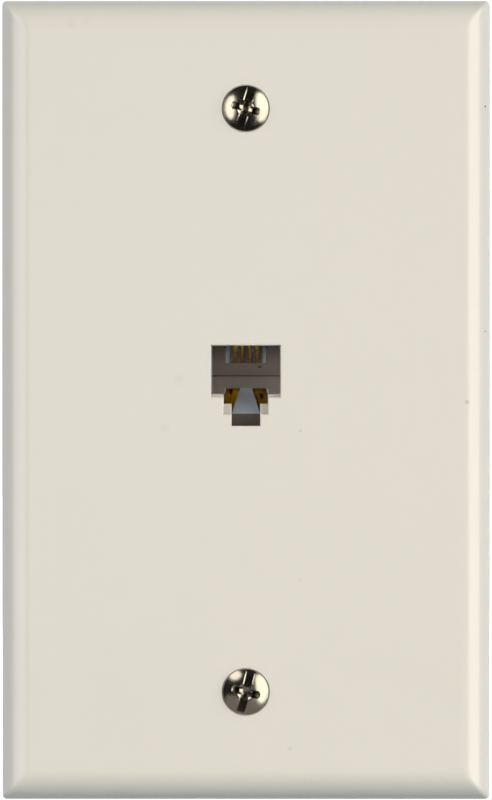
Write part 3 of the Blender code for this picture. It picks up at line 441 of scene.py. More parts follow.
metalBase = {"metallic": 1.0, "spread": 0.2, "grain": 2200.0, "bump": 0.14, "scratch": 0.6, "edge": 0.15 * mm}
metalLooks = finishLooks(metalBase, {
    "nickelPlate": (0.17, (0.61, 0.60, 0.54), (0.56, 0.55, 0.49), (0.74, 0.73, 0.68), {
        "spread": 0.07, "grain": 2500.0, "bump": 0.08, "scratch": 0.5}),
    "zincPlate": (0.30, (0.60, 0.62, 0.64), (0.48, 0.49, 0.50), (0.75, 0.76, 0.78), {
        "grain": 1800.0, "bump": 0.16, "edge": 0.25 * mm}),
    "brassStrip": (0.24, (0.86, 0.50, 0.040), (0.60, 0.31, 0.020), (0.92, 0.66, 0.16), {}),
    "springBrass": (0.30, (0.78, 0.37, 0.016), (0.56, 0.25, 0.009), (0.95, 0.56, 0.08), {"metallic": 0.2}),
    "goldWire": (0.22, (0.97, 0.50, 0.016), (0.84, 0.38, 0.010), (0.98, 0.66, 0.16), {
        "metallic": 0.7, "spread": 0.12, "grain": 4000.0, "bump": 0.06, "scratch": 0.3, "edge": 0.08 * mm}),
    "tinnedCopper": (0.32, (0.72, 0.71, 0.69), (0.58, 0.56, 0.53), (0.80, 0.60, 0.46), {
        "grain": 1900.0, "bump": 0.16, "scratch": 0.5, "edge": 0.2 * mm}),
})

# how strongly the shared effects act on each kind of finish
plasticShares = {
    "patches": (0.35, 0.65), "wear": 0.5, "scratchScale": 0.5, "scratchRough": 0.12, "scratchDepth": -0.6,
    "rough": (0.88, 1.15), "dustScale": 0.3, "dustRough": 0.3, "dustColour": (0.55, 0.53, 0.48),
}
metalShares = {
    "patches": (0.38, 0.66), "wear": 0.8, "scratchScale": 0.6, "scratchRough": 0.15, "scratchDepth": -0.8,
}
bumpDistance = 0.04 * mm

# place in mm, radius, blur, strength and colour of each small mark on the plate
plateMarks = (
    ((31.62, -5.48, -0.24), 0.10, 0.34, 0.65, (0.62, 0.46, 0.26)),
    ((34.24, -3.81, 42.0), 0.09, 0.13, 0.85, (0.10, 0.09, 0.08)),
    ((34.24, -3.81, 9.82), 0.07, 0.13, 0.70, (0.22, 0.21, 0.20)),
    ((7.70, -5.6, -25.6), 0.10, 0.25, 0.14, (0.42, 0.42, 0.42)),
    ((-25.1, -5.6, 53.8), 0.30, 0.70, 0.07, (0.40, 0.42, 0.44)),
    ((-22.7, -5.6, 54.3), 0.25, 0.60, 0.06, (0.40, 0.42, 0.44)),
    ((6.31, -5.6, -49.8), 0.12, 0.35, 0.25, (0.42, 0.42, 0.42)),
    ((-9.58, -5.6, 2.92), 0.25, 0.75, 0.10, (0.45, 0.47, 0.50)),
    ((-11.6, -5.6, -3.94), 0.25, 0.75, 0.11, (0.45, 0.47, 0.50)),
    ((7.77, -5.6, -4.36), 0.10, 0.22, 0.28, (0.42, 0.42, 0.42)),
)
# the same for dark spots of painted shade on the jack's comb, where its holes and corners look dark
jackShadeMarks = (
    ((1.83, 6.3, 4.73), 0.07, 0.12, 0.8, (0.03, 0.025, 0.02)),
    ((2.06, 6.3, 4.73), 0.07, 0.12, 0.8, (0.03, 0.025, 0.02)),
    ((-2.95, 6.3, 7.65), 0.10, 0.16, 0.8, (0.05, 0.04, 0.035)),
    ((2.90, 6.3, 7.70), 0.10, 0.16, 0.8, (0.05, 0.04, 0.035)),
)
# painted highlights and painted shade on the brass beside the ramp
tabSheenAndShadeMarks = (
    ((-2.1, 8.2, 0.0), 1.0, 0.8, 0.9, (1.0, 0.50, 0.012)),
    ((-1.5, 8.2, 1.0), 0.2, 0.5, 1.0, (1.0, 0.66, 0.05)),
    ((1.5, 8.2, 1.0), 0.15, 0.4, 0.8, (1.0, 0.60, 0.03)),
    ((2.9, 8.2, 1.2), 0.3, 0.6, 0.6, (0.30, 0.12, 0.008)),
)

# in the next three, each pair of lengths says between which places a tint comes in
# painted shade: surfaces sunk behind the plate's front near the opening are painted darker
plateRecessShade = lengths(reach=(12, 10), depth=(-5.3, -4.8)) | {"colour": (0.60, 0.55, 0.455)}
# painted light and shade for the inside of the jack
jackPaintedShading = lengths(
    rimY=(-2.6, -2.9), insideX=(5.4, 5.2), rampZ=(1.0, -1.9), rampY=(8.0, 7.6), rampTop=(3.1, 2.9),
    seamZ=3.45, seamReach=(0.12, 0.05),
) | {
    "facing": (-0.75, -0.95), "share": 0.9, "front": (0.42, 0.345, 0.27), "rim": (0.058, 0.029, 0.006),
    "sideways": (0.6, 0.9), "walls": (0.36, 0.355, 0.35), "ramp": (0.76, 0.84, 0.93),
    "rampFoot": (0.44, 0.50, 0.57), "seam": (0.16, 0.13, 0.11),
}
# darker, browner and rougher below the domes of the two mounting screws; their middle stays brighter
slotDarkening = lengths(ballY=-1.66, ball=5.24, depth=(0.12, 0.45), front=(-4.6, -4.8), radius=(0.9, 1.2)) | {
    "middle": 0.12, "share": 0.8, "rough": 0.06, "colour": (0.19, 0.16, 0.09),
}


def surfaceMasks(tree, look, shares):
    place = coordinate(tree)
    grain = useGroup(tree, surfaceGrain, Vector=place, Scale=look["grain"])
    scratch = useGroup(tree, scratchLines, Vector=place, Scale=look["grain"] * shares["scratchScale"],
                       Share=look["scratch"])
    wear = useGroup(tree, edgeWear, Vector=place, Radius=look["edge"], Share=shares["wear"])
    patches = rangeNode(tree, grain["Broad"], *shares["patches"])
    colour = mixColour(tree, patches, look["colour"], look["shade"])
    return place, grain, scratch["Mask"], wear["Mask"], colour


def addMarks(tree, place, colour, marks):
    for centre, radius, blur, share, tint in marks:
        spot = useGroup(tree, spotMark, Vector=place, Centre=tuple(v * mm for v in centre),
                        Radius=radius * mm, Blur=blur * mm, Share=share)
        colour = mixColour(tree, spot["Mask"], colour, tint)
    return colour


def roughAndBump(tree, shader, look, shares, rough, scratch, fine):
    rough = mathNode(tree, "MULTIPLY_ADD", scratch, shares["scratchRough"], rough)
    feed(tree, rough, shader.inputs["Roughness"])
    height = mathNode(tree, "MULTIPLY_ADD", scratch, shares["scratchDepth"], fine)
    bump = {"Strength": look["bump"], "Distance": bumpDistance, "Height": height}
    feed(tree, addNode(tree, "Bump", bump), shader.inputs["Normal"])


def paintJackShading(tree, place, colour, paintedShading):
    # painted light and shade: faces that look forward get a warm, darker painted shade that turns near black
    # at the slot's rim, while the walls and the ramp get a lighter, cooler painted light
    where = axisParts(tree, place)
    normal = axisParts(tree, coordinate(tree, "Normal"))
    inside = rangeNode(tree, mathNode(tree, "ABSOLUTE", where["X"]), *paintedShading["insideX"])
    low = rangeNode(tree, where["Z"], *paintedShading["rampTop"])
    below = product(tree, rangeNode(tree, where["Y"], *paintedShading["rampY"]), low)
    ramp = mixColour(tree, rangeNode(tree, where["Z"], *paintedShading["rampZ"]), paintedShading["ramp"], paintedShading["rampFoot"])
    colour = mixColour(tree, product(tree, inside, below), colour, ramp)
    sideways = rangeNode(tree, mathNode(tree, "ABSOLUTE", normal["X"]), *paintedShading["sideways"])
    colour = mixColour(tree, product(tree, sideways, inside), colour, paintedShading["walls"])
    front = mixColour(tree, rangeNode(tree, where["Y"], *paintedShading["rimY"]), paintedShading["front"], paintedShading["rim"])
    facing = rangeNode(tree, normal["Y"], *paintedShading["facing"], 0.0, paintedShading["share"])
    colour = mixColour(tree, facing, colour, front)
    # painted shadow: a dark line in the step below the comb
    offSeam = mathNode(tree, "ABSOLUTE", mathNode(tree, "SUBTRACT", where["Z"], paintedShading["seamZ"]))
    seamShadow = product(tree, rangeNode(tree, offSeam, *paintedShading["seamReach"]), inside)
    return mixColour(tree, seamShadow, colour, paintedShading["seam"])


def plasticFinish(name, marks=(), paintedShading=None, recess=None):
    material, tree, shader = newMaterial(name)
    look, shares = plasticLooks[name], plasticShares
    place, grain, scratch, wear, colour = surfaceMasks(tree, look, shares)
    dust = useGroup(tree, dustFilm, Vector=place, Scale=look["grain"] * shares["dustScale"],
                    Share=look["dust"])["Mask"]
    if "aged" in look:
        # painted shade: the upper end is painted a little darker
        upward = rangeNode(tree, axisParts(tree, place)["Z"], *look["agedZ"])
        colour = mixColour(tree, upward, colour, look["aged"])
    # painted light and shade inside the jack
    if paintedShading:
        colour = paintJackShading(tree, place, colour, paintedShading)
    colour = mixColour(tree, wear, colour, look["worn"])
    # painted shade on the sunk faces around the opening
    if recess:
        near = rangeNode(tree, vectorNode(tree, "LENGTH", place, output="Value"), *recess["reach"])
        sunk = rangeNode(tree, axisParts(tree, place)["Y"], *recess["depth"])
        colour = mixColour(tree, product(tree, near, sunk), colour, recess["colour"])
    colour = mixColour(tree, dust, colour, shares["dustColour"])
    feed(tree, addMarks(tree, place, colour, marks), shader.inputs["Base Color"])
    smoother, rougher = (look["rough"] * share for share in shares["rough"])
    rough = rangeNode(tree, grain["Broad"], 0.3, 0.7, smoother, rougher)
    rough = mathNode(tree, "MULTIPLY_ADD", dust, shares["dustRough"], rough)
    roughAndBump(tree, shader, look, shares, rough, scratch, grain["Fine"])
    shader.inputs["Specular IOR Level"].default_value = look["shine"]
    return material


def recessDarkMask(tree, place, darkening):
    # both screws at once: heights are counted from the nearer screw's middle
    where = axisParts(tree, place)
    apart = mathNode(tree, "SUBTRACT", mathNode(tree, "ABSOLUTE", where["Z"]), screwZ)
    local = addNode(tree, "CombineXYZ", {0: where["X"], 1: where["Y"], 2: apart})
    reach = vectorNode(tree, "DISTANCE", local, (0, darkening["ballY"], 0), "Value")
    shallow, deep = (darkening["ball"] - depth for depth in darkening["depth"])
    sunk = rangeNode(tree, reach, shallow, deep)
    sunk = product(tree, sunk, rangeNode(tree, where["Y"], *darkening["front"]))
    radial = vectorNode(tree, "LENGTH", vectorNode(tree, "MULTIPLY", local, (1, 0, 1)), output="Value")
    return product(tree, sunk, rangeNode(tree, radial, *darkening["radius"], darkening["middle"]))


def metalFinish(name, marks=(), darkening=None):
    material, tree, shader = newMaterial(name)
    look = metalLooks[name]
    place, grain, scratch, wear, colour = surfaceMasks(tree, look, metalShares)
    colour = mixColour(tree, wear, colour, look["worn"])
    rough = rangeNode(tree, grain["Broad"], 0.3, 0.7, look["rough"], look["rough"] + look["spread"])
    if darkening:
        sunk = recessDarkMask(tree, place, darkening)
        colour = mixColour(tree, product(tree, sunk, darkening["share"]), colour, darkening["colour"])
        rough = mathNode(tree, "MULTIPLY_ADD", sunk, darkening["rough"], rough)
    feed(tree, addMarks(tree, place, colour, marks), shader.inputs["Base Color"])
    roughAndBump(tree, shader, look, metalShares, rough, scratch, grain["Fine"])
    shader.inputs["Metallic"].default_value = look["metallic"]
    return material


lineNames = ("black", "red", "green", "yellow")
almondPlastic = plasticFinish("almondPlastic", plateMarks, recess=plateRecessShade)
greyPlastic = plasticFinish("greyPlastic", jackShadeMarks, paintedShading=jackPaintedShading)
guidePlastic = plasticFinish("guidePlastic")
ivoryPlastic = plasticFinish("ivoryPlastic")
leadFinish = {name: plasticFinish(name + "Insulation") for name in lineNames}
nickelPlate = metalFinish("nickelPlate", darkening=slotDarkening)
zincPlate = metalFinish("zincPlate")
brassStrip = metalFinish("brassStrip")
springBrass = metalFinish("springBrass", tabSheenAndShadeMarks)
goldWire = metalFinish("goldWire")
tinnedCopper = metalFinish("tinnedCopper")
print("scene: finishes ready")


# Cover plate

plateSizes = lengths(
    width=69.85, height=114.3, corner=0.6, rollRadius=4.53, rimWall=1.8, hollowCorner=0.5, root=0.2,
    ribX=24.5, ribZ=27, ribWall=1.1, ribHeight=1.3, bossRadii=(4.8, 4.7), bossHeight=2.6,
    screwHole=3.9, screwMouth=6.85, postX=17, blockZ=2, postRadii=(2.6, 2.45), postHeight=4.4,
    postBore=1.3, postBoreY=(-3.0, 2), collarX=8.695, collarBack=-1.9, collarZ=(-7.97, 12.8),
    jackX=7.595, jackZ=(-6.87, 11.7), openingEdge=0.25, pinRadius=1.7, pinY=(-3.52, -3.0),
    pinMarks=((-28.6, 18), (28.6, 18), (-14, 47), (14, 47)),
) | {
    "cornerSteps": 6, "hollowSteps": 4, "rollSweep": 70, "rollSteps": 28, "draft": 1.5,
    "countersink": 41,
}

openingSizes = lengths(
    side=4.945, top=7.8, sill=0.43, sillStep=0.4, keySide=3.16, keyBottom=-2.0, catchTop=-0.5,
    latchSide=2.03, latchBottom=-3.67, recess=1.0,
)


def plateShell(width, height, corner, cornerSteps, rings):
    # a rounded rectangle at the back, extruded forward ring by ring; each ring is inset and Y
    bm = bmesh.new()
    bmesh.ops.create_grid(bm, x_segments=1, y_segments=1, size=0.5)
    quarterTurn(bm)
    bmesh.ops.scale(bm, vec=(width, 1, height), verts=bm.verts)
    bmesh.ops.bevel(bm, geom=bm.verts[:], offset=corner, segments=cornerSteps, profile=0.5,
                    affect="VERTICES", clamp_overlap=False, material=-1)
    bmesh.ops.translate(bm, vec=(0, rings[0][1], 0), verts=bm.verts)
    face = bm.faces[:][0]
    before = rings[0]
    for inset, y in rings[1:]:
        across, upright = ((side - 2 * inset) / (side - 2 * before[0]) for side in (width, height))
        face = extrudeFace(bm, face, (0, y - before[1], 0), (across, 1, upright))
        before = (inset, y)
    return finishMesh(bm, "plateShell")


def plateRings(sizes):
    sweep = radians(sizes["rollSweep"])
    roll = sizes["rollRadius"]
    rollEnd = faceY + roll * (1 - cos(sweep))
    sideRun = -rollEnd * tan(radians(sizes["draft"]))
    rings = [(0.0, 0.0), (sideRun, rollEnd)]
    for step in range(sizes["rollSteps"] - 1, -1, -1):
        angle = sweep * step / sizes["rollSteps"]
        inset = sideRun + roll * (sin(sweep) - sin(angle))
        rings.append((inset, faceY + roll * (1 - cos(angle))))
    return rings


def plateHollow(sizes):
    inset = 2 * sizes["rimWall"]
    rise = (overcut - innerY) * tan(radians(sizes["draft"]))
    return plateShell(sizes["width"] - inset, sizes["height"] - inset, sizes["hollowCorner"],
                      sizes["hollowSteps"], [(0, overcut), (rise, innerY)])


def plateRibs(sizes):
    # ribs, screw bosses, posts for the terminal block, and the collar that holds the jack
    ribs = []
    x, half = sizes["ribX"], sizes["ribWall"] / 2
    low, high = innerY - sizes["root"], innerY + sizes["ribHeight"]
    span = sizes["height"] / 2 - sizes["rimWall"]
    for side in (-1, 1):
        z = side * sizes["ribZ"]
        ribs.append(blockMesh(side * x - half, side * x + half, low, high, -span, span))
        ribs.append(blockMesh(-x, x, low, high, z - half, z + half))
        ribs.append(coneMesh(*sizes["bossRadii"], low, innerY + sizes["bossHeight"], 64, 0, side * screwZ))
        ribs.append(coneMesh(*sizes["postRadii"], low, innerY + sizes["postHeight"], 48,
                             side * sizes["postX"], sizes["blockZ"]))
    ribs.append(blockMesh(-sizes["collarX"], sizes["collarX"], low, sizes["collarBack"], *sizes["collarZ"]))
    return ribs


def openingOutline(hole, sill, step):
    return mirrored([
        (hole["side"], hole["top"]), (hole["side"], sill), (hole["keySide"], sill),
        (hole["keySide"], step), (hole["latchSide"], step), (hole["latchSide"], hole["latchBottom"]),
    ])


def plateCuts(sizes, hole):
    # the jack's seat, the screw holes, the posts' bores, the ejector pins' marks and the stepped opening
    cuts = [blockMesh(-sizes["jackX"], sizes["jackX"], innerY, 0, *sizes["jackZ"])]
    mouth, bore = sizes["screwMouth"] / 2, sizes["screwHole"] / 2
    slope = tan(radians(sizes["countersink"]))
    for side in (-1, 1):
        profile = ((0, faceY - overcut), (mouth + overcut * slope, faceY - overcut),
                   (bore, faceY + (mouth - bore) / slope), (bore, overcut), (0, overcut))
        sink = turnedMesh(profile, 72)
        sink.transform(Matrix.Translation((0, 0, side * screwZ)))
        cuts.append(sink)
        cuts.append(coneMesh(sizes["postBore"], sizes["postBore"], *sizes["postBoreY"], 32,
                             side * sizes["postX"], sizes["blockZ"]))
    for x, z in sizes["pinMarks"]:
        for side in (-1, 1):
            cuts.append(coneMesh(sizes["pinRadius"], sizes["pinRadius"], *sizes["pinY"], 28, x, side * z))
    stepY = faceY + hole["recess"]
    cuts.append(outlineMesh(openingOutline(hole, hole["sill"], hole["keyBottom"]), faceY - overcut, stepY))
    throat = openingOutline(hole, hole["sill"] + hole["sillStep"], hole["catchTop"])
    cuts.append(outlineMesh(throat, stepY - sizes["root"], innerY + overcut))
    return cuts


def makeCoverPlate(sizes, hole):
    shell = plateShell(sizes["width"], sizes["height"], sizes["corner"], sizes["cornerSteps"],
                       plateRings(sizes))
    shell = carve(shell, [plateHollow(sizes)])
    shell = carve(shell, plateRibs(sizes), "UNION")
    shell = carve(shell, plateCuts(sizes, hole))

    def atOpening(place):
        return place.y < faceY + 0.01 * mm and abs(place.x) < 6 * mm and abs(place.z) < 9 * mm

    return soften(shell, sizes["openingEdge"], "coverPlate", 3, where=atOpening, sharp=24)


coverPlate = addPiece("coverPlate", makeCoverPlate(plateSizes, openingSizes), almondPlastic,
                      ["wall_plate"])
steady = coverPlate.modifiers.new("evenShading", "WEIGHTED_NORMAL")
steady.keep_sharp = True
steady.weight = 90
print("scene: cover plate")


# Mounting screws

screwSizes = lengths(
    head=6.55, proud=0.15, dome=1.15, edge=((-0.012, -0.012), (0, 0.03), (-0.06, 0.12)), neck=0.6,
    shank=3.4, length=25.4, root=1.26, pitch=0.794, threadStart=0.3, point=0.7,
    slotWidth=1.1, slotDepth=1.0, burr=0.16, crossSpan=5.0, crossWing=1.2, crossDepth=1.5,
    throat=0.95, bowl=1.0, bowlFoot=0.1, bowlRise=0.2, bowlDepth=0.55, dish=(1.45, 0.75, 0.5),
    ramp=(0.40, 1.0, 0.42, 0.27), lipStart=1.05, lipRun=1.85, lips=((0.15, 0.075), (0.11, 0.055)),
) | {
    "domeSteps": 24, "domeShare": 0.985, "threadSteps": 20, "pointShare": 0.72, "crossFlare": 0.6,
    "endSpan": 0.40, "endWing": 0.7, "wingRound": 0.34, "lipSteps": 8,
}
# which end of the plate, and how many degrees each head is turned
screwPlaces = {"Top": (1, 16.6), "Bottom": (-1, 14.4)}


def screwProfile(sizes, rim, ball, underHead):
    head, shank = sizes["head"] / 2, sizes["shank"] / 2
    fullAngle = asin(head / ball)
    profile = []
    for step in range(sizes["domeSteps"] + 1):
        angle = fullAngle * sizes["domeShare"] * step / sizes["domeSteps"]
        profile.append((ball * sin(angle), rim - sizes["dome"] + ball * (1 - cos(angle))))
    profile += [(head + out, rim + back) for out, back in sizes["edge"]]
    neckEnd = underHead + sizes["neck"]
    return profile + [(shank, underHead), (shank, neckEnd), (0, neckEnd)]


def taperedArm(sizes, top, turned):
    # one bar of the cross recess; it narrows with depth
    depth = sizes["crossDepth"] + overcut
    span = sizes["crossSpan"] * (1 + overcut / sizes["crossDepth"] * sizes["crossFlare"])
    wing = sizes["crossWing"]
    bm = boxShape((span, depth, wing), (0, top + depth / 2, 0))
    deep = [vert for vert in bm.verts if vert.co.y > top + depth / 2]
    bmesh.ops.scale(bm, vec=(sizes["crossSpan"] * sizes["endSpan"] / span, 1, sizes["endWing"]), verts=deep)
    upright = [edge for edge in bm.edges if abs(edge.verts[0].co.y - edge.verts[1].co.y) > depth / 2]
    bevelEdges(bm, upright, wing * sizes["wingRound"], 3)
    if turned:
        quarterTurn(bm, "Y")
    return finishMesh(bm, "arm")


def threadedShank(sizes, y0, y1):
    # a cam-shaped section, turned as it is extruded, leaves one helical thread
    steps, pitch, root = sizes["threadSteps"], sizes["pitch"], sizes["root"]
    bm = bmesh.new()
    bmesh.ops.create_circle(bm, cap_ends=True, radius=1, segments=steps)
    quarterTurn(bm)
    for vert in bm.verts:
        share = abs(atan2(vert.co.z, vert.co.x)) / pi
        vert.co *= root + (sizes["shank"] / 2 - root) * min(1.0, max(0.0, share * 1.3 - 0.15))
    bmesh.ops.translate(bm, vec=(0, y0, 0), verts=bm.verts)
    face = bm.faces[:][0]
    turns = (y1 - y0 - sizes["point"]) / pitch
    out = bmesh.ops.spin(bm, geom=[face, *face.edges, *face.verts], cent=(0, 0, 0), axis=(0, 1, 0),
                         dvec=(0, pitch / steps, 0), angle=2 * pi * turns, steps=round(turns * steps),
                         use_merge=False)
    shrink = sizes["pointShare"]
    extrudeFace(bm, firstFace(out["geom_last"]), (0, sizes["point"], 0), (shrink, 1, shrink))
    return finishMesh(bm, "shank", 50)


def slotLip(sizes, side, way, top, ball):
    # the saw leaves a burr along the slot, with one facet that slopes down to the cut
    half = sizes["slotWidth"] / 2
    wide, high = sizes["lips"][side > 0]
    stations = []
    for step in range(sizes["lipSteps"] + 1):
        z = way * (sizes["lipStart"] + sizes["lipRun"] * step / sizes["lipSteps"])
        reach = hypot(half + wide / 2, z)
        stations.append(Vector((0, top + ball - sqrt(ball ** 2 - reach ** 2), z)))
    section = ((half, 0.01 * mm), (half + wide, -high), (half + 1.25 * wide, 0.1 * mm),
               (half + 0.02 * mm, 0.2 * mm))
    bm = bmesh.new()
    face = bm.faces.new([bm.verts.new(stations[0] + Vector((side * x, y, 0))) for x, y in section])
    for before, after in zip(stations, stations[1:]):
        face = extrudeFace(bm, face, after - before)
    return finishMesh(bm, "lip", 30)


def recessRamp(sizes, side, top):
    # the worn floor of an arm, which slopes down to the slot
    inner, outer, deep, half = sizes["ramp"]
    low, high = sorted((side * inner, side * outer))
    mesh = blockMesh(low, high, top + deep, top + sizes["crossDepth"] + 0.3 * mm, -half, half, 0.05 * mm)
    for vert in mesh.vertices:
        if vert.co.y < top + deep + 0.2 * mm:
            vert.co.y += (outer - abs(vert.co.x)) * 0.5
    return mesh


def recessTools(sizes, top):
    # the slot, the two bars of the cross, and the throat, bowl and worn dish in the middle
    half = sizes["slotWidth"] / 2
    slot = blockMesh(-half, half, top - overcut, top + sizes["slotDepth"], -sizes["head"], sizes["head"])
    arms = [taperedArm(sizes, top - overcut, turned) for turned in (False, True)]
    bowlTop = top + sizes["crossDepth"] - sizes["bowlRise"]
    throat = coneMesh(sizes["throat"], sizes["throat"] * 0.6, top - 0.1 * mm, bowlTop + 0.1 * mm, 32)
    bowl = coneMesh(sizes["bowl"], sizes["bowlFoot"], bowlTop, bowlTop + sizes["bowlDepth"], 32)
    wide, narrow, deep = sizes["dish"]
    return [slot] + arms + [throat, bowl, coneMesh(wide, narrow, top, top + deep, 48)]


def makeMountingScrew(name, end, turn):
    sizes = screwSizes
    rim = faceY - sizes["proud"]
    top = rim - sizes["dome"]
    head = sizes["head"] / 2
    ball = (head ** 2 + sizes["dome"] ** 2) / (2 * sizes["dome"])
    underHead = rim + (head - sizes["shank"] / 2) / tan(radians(plateSizes["countersink"]))
    body = carve(turnedMesh(screwProfile(sizes, rim, ball, underHead), 96), recessTools(sizes, top))

    def onDome(place):
        reach = hypot(place.x, place.z)
        onBall = top + ball * (1 - cos(asin(min(reach / ball, 1))))
        return abs(place.y - onBall) < 0.02 * mm and reach < head - 0.15 * mm

    parts = [soften(body, sizes["burr"], "head", 3, angle=25, where=onDome, sharp=40)]
    parts.append(threadedShank(sizes, underHead + sizes["threadStart"], rim + sizes["length"]))
    parts += [slotLip(sizes, side, way, top, ball) for side in (-1, 1) for way in (-1, 1)]
    parts += [recessRamp(sizes, side, top) for side in (-1, 1)]
    mesh = joinMeshes(parts, "mountingScrew" + name)
    mesh.transform(Matrix.Translation((0, 0, end * screwZ)) @ Matrix.Rotation(radians(turn), 4, "Y"))
    return addPiece("mountingScrew" + name, mesh, nickelPlate,
                    ["mounting_screw_" + name.lower()])


mountingScrews = {name: makeMountingScrew(name, end, turn) for name, (end, turn) in screwPlaces.items()}
print("scene: mounting screws")


# Jack insert

addCopies(["jack_housing"], greyPlastic, 0.05 * mm, flush=-3.15 * mm)
addCopies(["wire_retainer", "rear_cap"], greyPlastic, 0.07 * mm)
addCopies(["solder_tab_" + name for name in lineNames], springBrass, 0.03 * mm)

# "outer" and "inner" give the X and Z where a wire ends on its tab
wireSizes = lengths(
    pitch=1.05, radius=0.23, bend=0.8, bendY=-1.4, slopeTop=7.6, tipY=6.9, tipZ=5.43, runZ=9.2,
    dropY=9.13, outer=(4.1, 5.8), inner=(1.0, 4.1),
)


def contactRoute(x, tabX, endZ):
    sizes = wireSizes
    bend = sizes["bend"]
    tip = Vector((x, sizes["tipY"], sizes["tipZ"]))
    centre = Vector((x, sizes["bendY"], sizes["slopeTop"] + bend))
    fall = atan2(sizes["slopeTop"] - sizes["tipZ"], tip.y - centre.y)
    path = [tip] + arcPoints(centre, bend, -pi / 2 - fall, fall - pi, 18)
    turn = Vector((x, sizes["dropY"] - bend, sizes["runZ"] - bend))
    path += arcPoints(turn, bend, pi / 2, -pi / 2, 8)
    knee = path[-1] - Vector((0, 0, bend))
    heel = Vector((tabX, sizes["dropY"], endZ + bend))
    return path[:-1] + bentRoute([path[-1], knee, heel, Vector((tabX, sizes["dropY"], endZ))], bend, 8)


def makeContactWires():
    ends = ((-1, "outer"), (-1, "inner"), (1, "inner"), (1, "outer"))
    for number, (side, row) in enumerate(ends, 1):
        tabX, endZ = wireSizes[row]
        route = contactRoute((number - 2.5) * wireSizes["pitch"], side * tabX, endZ)
        mesh = tubeMesh(route, wireSizes["radius"], 3, "contactWire")
        addPiece("contactWire%d" % number, mesh, goldWire, ["contact_wire_%d" % number])


guideSizes = lengths(
    outer=(-2.98, 2.84), inner=(-2.38, 2.34), low=5.3, high=7.95, near=5.75, far=6.35, slant=0.5,
    chamfer=0.45,
) | {"chamferShare": 0.6}


def makeCombGuides():
    # a slanted bar on each side of the comb
    sizes = guideSizes
    for side, outer, inner in zip(("Left", "Right"), sizes["outer"], sizes["inner"]):
        step = (inner - outer) * sizes["chamferShare"]
        points = [(outer, sizes["low"]), (inner, sizes["low"]), (inner, sizes["high"]),
                  (outer + step, sizes["high"]), (outer, sizes["high"] - sizes["chamfer"])]
        mesh = outlineMesh(points, sizes["near"], sizes["far"])
        for vert in mesh.vertices:
            if vert.co.y < (sizes["near"] + sizes["far"]) / 2:
                vert.co.y += (vert.co.x - outer) / (inner - outer) * sizes["slant"]
        addPiece("combGuide" + side, mesh, guidePlastic)


toothSizes = lengths(x=(-1.28, 0.95), half=0.11, low=(7.05, 6.75), high=7.95, near=5.9, far=6.4, edge=0.03)
# the small webs where the key's corners meet the latch well
cornerSizes = lengths(
    Left=((-2.87, 1.60), (-3.06, 1.60), (-3.26, 0.52), (-3.16, 0.52)),
    Right=((2.87, 1.60), (3.16, 1.60), (3.52, 0.52), (3.16, 0.52)), near=5.33, far=5.56,
)


def makeFrontTrims():
    sizes = toothSizes
    for number, (x, low) in enumerate(zip(sizes["x"], sizes["low"]), 1):
        mesh = blockMesh(x - sizes["half"], x + sizes["half"], sizes["near"], sizes["far"], low,
                         sizes["high"], sizes["edge"])
        addPiece("combTooth%d" % number, mesh, guidePlastic)
    for side in ("Left", "Right"):
        mesh = outlineMesh(cornerSizes[side], cornerSizes["near"], cornerSizes["far"])
        addPiece("wellCorner" + side, mesh, guidePlastic)


beadSizes = lengths(
    radius=0.30, y=8.12, left=((-1.66, 1.5), (-2.02, 0.1), (-2.36, -1.1)),
    right=((1.40, 1.5), (1.78, 0.2), (2.24, -1.1)),
)


def makeTabBeads():
    # a pressed bead stiffens each inner tab
    for side in ("left", "right"):
        path = [Vector((x, beadSizes["y"], z)) for x, z in beadSizes[side]]
        mesh = tubeMesh(path, beadSizes["radius"], 4, "bead")
        addPiece("tabBead" + side.capitalize(), mesh, springBrass)


makeContactWires()
makeCombGuides()
makeFrontTrims()
makeTabBeads()
print("scene: jack insert")


# Leads

# the second group is in lead thicknesses: how far a lead runs and swings between its ends
leadSizes = lengths(
    radius=0.6, y=9.45, startZ=3.7, bend=1.4, exitZ=-2.4, reach=2.2, capRear=15.0, outerX=4.4, innerX=2.1,
    postRise=10, barrelStart=4.2, barrelLength=3.0, barrelY=9.9, insert=0.6,
) | {
    "exitRun": 1.6, "mouthRise": 0.35, "crest": (2.2, 3.0), "swing": (0.8, 1.8),
    "dip": {"inner": 2.8, "outer": 1.0},
}
# side, tab row and direction in which each lead leaves its terminal
lines = {"black": (-1, "outer", 1), "red": (-1, "inner", -1), "green": (1, "inner", -1),
         "yellow": (1, "outer", 1)}


def leadRoute(side, row, rise):
    sizes = leadSizes
    thick = 2 * sizes["radius"]
    x = side * sizes[row + "X"]
    centre = Vector((x, sizes["y"] + sizes["bend"], sizes["exitZ"] + sizes["bend"]))
    path = [Vector((x, sizes["y"], sizes["startZ"]))]
    path += arcPoints(centre, sizes["bend"], pi, pi / 2, 10)
    out = Vector((x, sizes["capRear"] + sizes["exitRun"] * thick, sizes["exitZ"]))
    heading = Vector((-side, 0, -rise)).normalized()
    postZ = plateSizes["blockZ"] + rise * sizes["postRise"]
    post = Vector((side * plateSizes["postX"], sizes["barrelY"], postZ))
    end = post + heading * (sizes["barrelStart"] + sizes["insert"])
    mouth = post + heading * (sizes["barrelStart"] + sizes["barrelLength"])
    loose = mouth + Vector((heading.x, sizes["mouthRise"], heading.z)) * thick
    along, rearward = sizes["crest"]
    high = mouth + Vector((along * heading.x, rearward, along * heading.z)) * thick
    aside, rearward = sizes["swing"]
    swing = (out + high) / 2 + Vector((aside * side, rearward, sizes["dip"][row] * rise)) * thick
    return path[:-1] + bentRoute([path[-1], out, swing, high, loose, mouth, end], sizes["reach"], 10)


for name, (side, row, rise) in lines.items():
    mesh = tubeMesh(leadRoute(side, row, rise), leadSizes["radius"], 5, "lead")
    addPiece("lead" + name.capitalize(), mesh, leadFinish[name], ["lead_" + name])
print("scene: leads")


# Terminal block and hardware

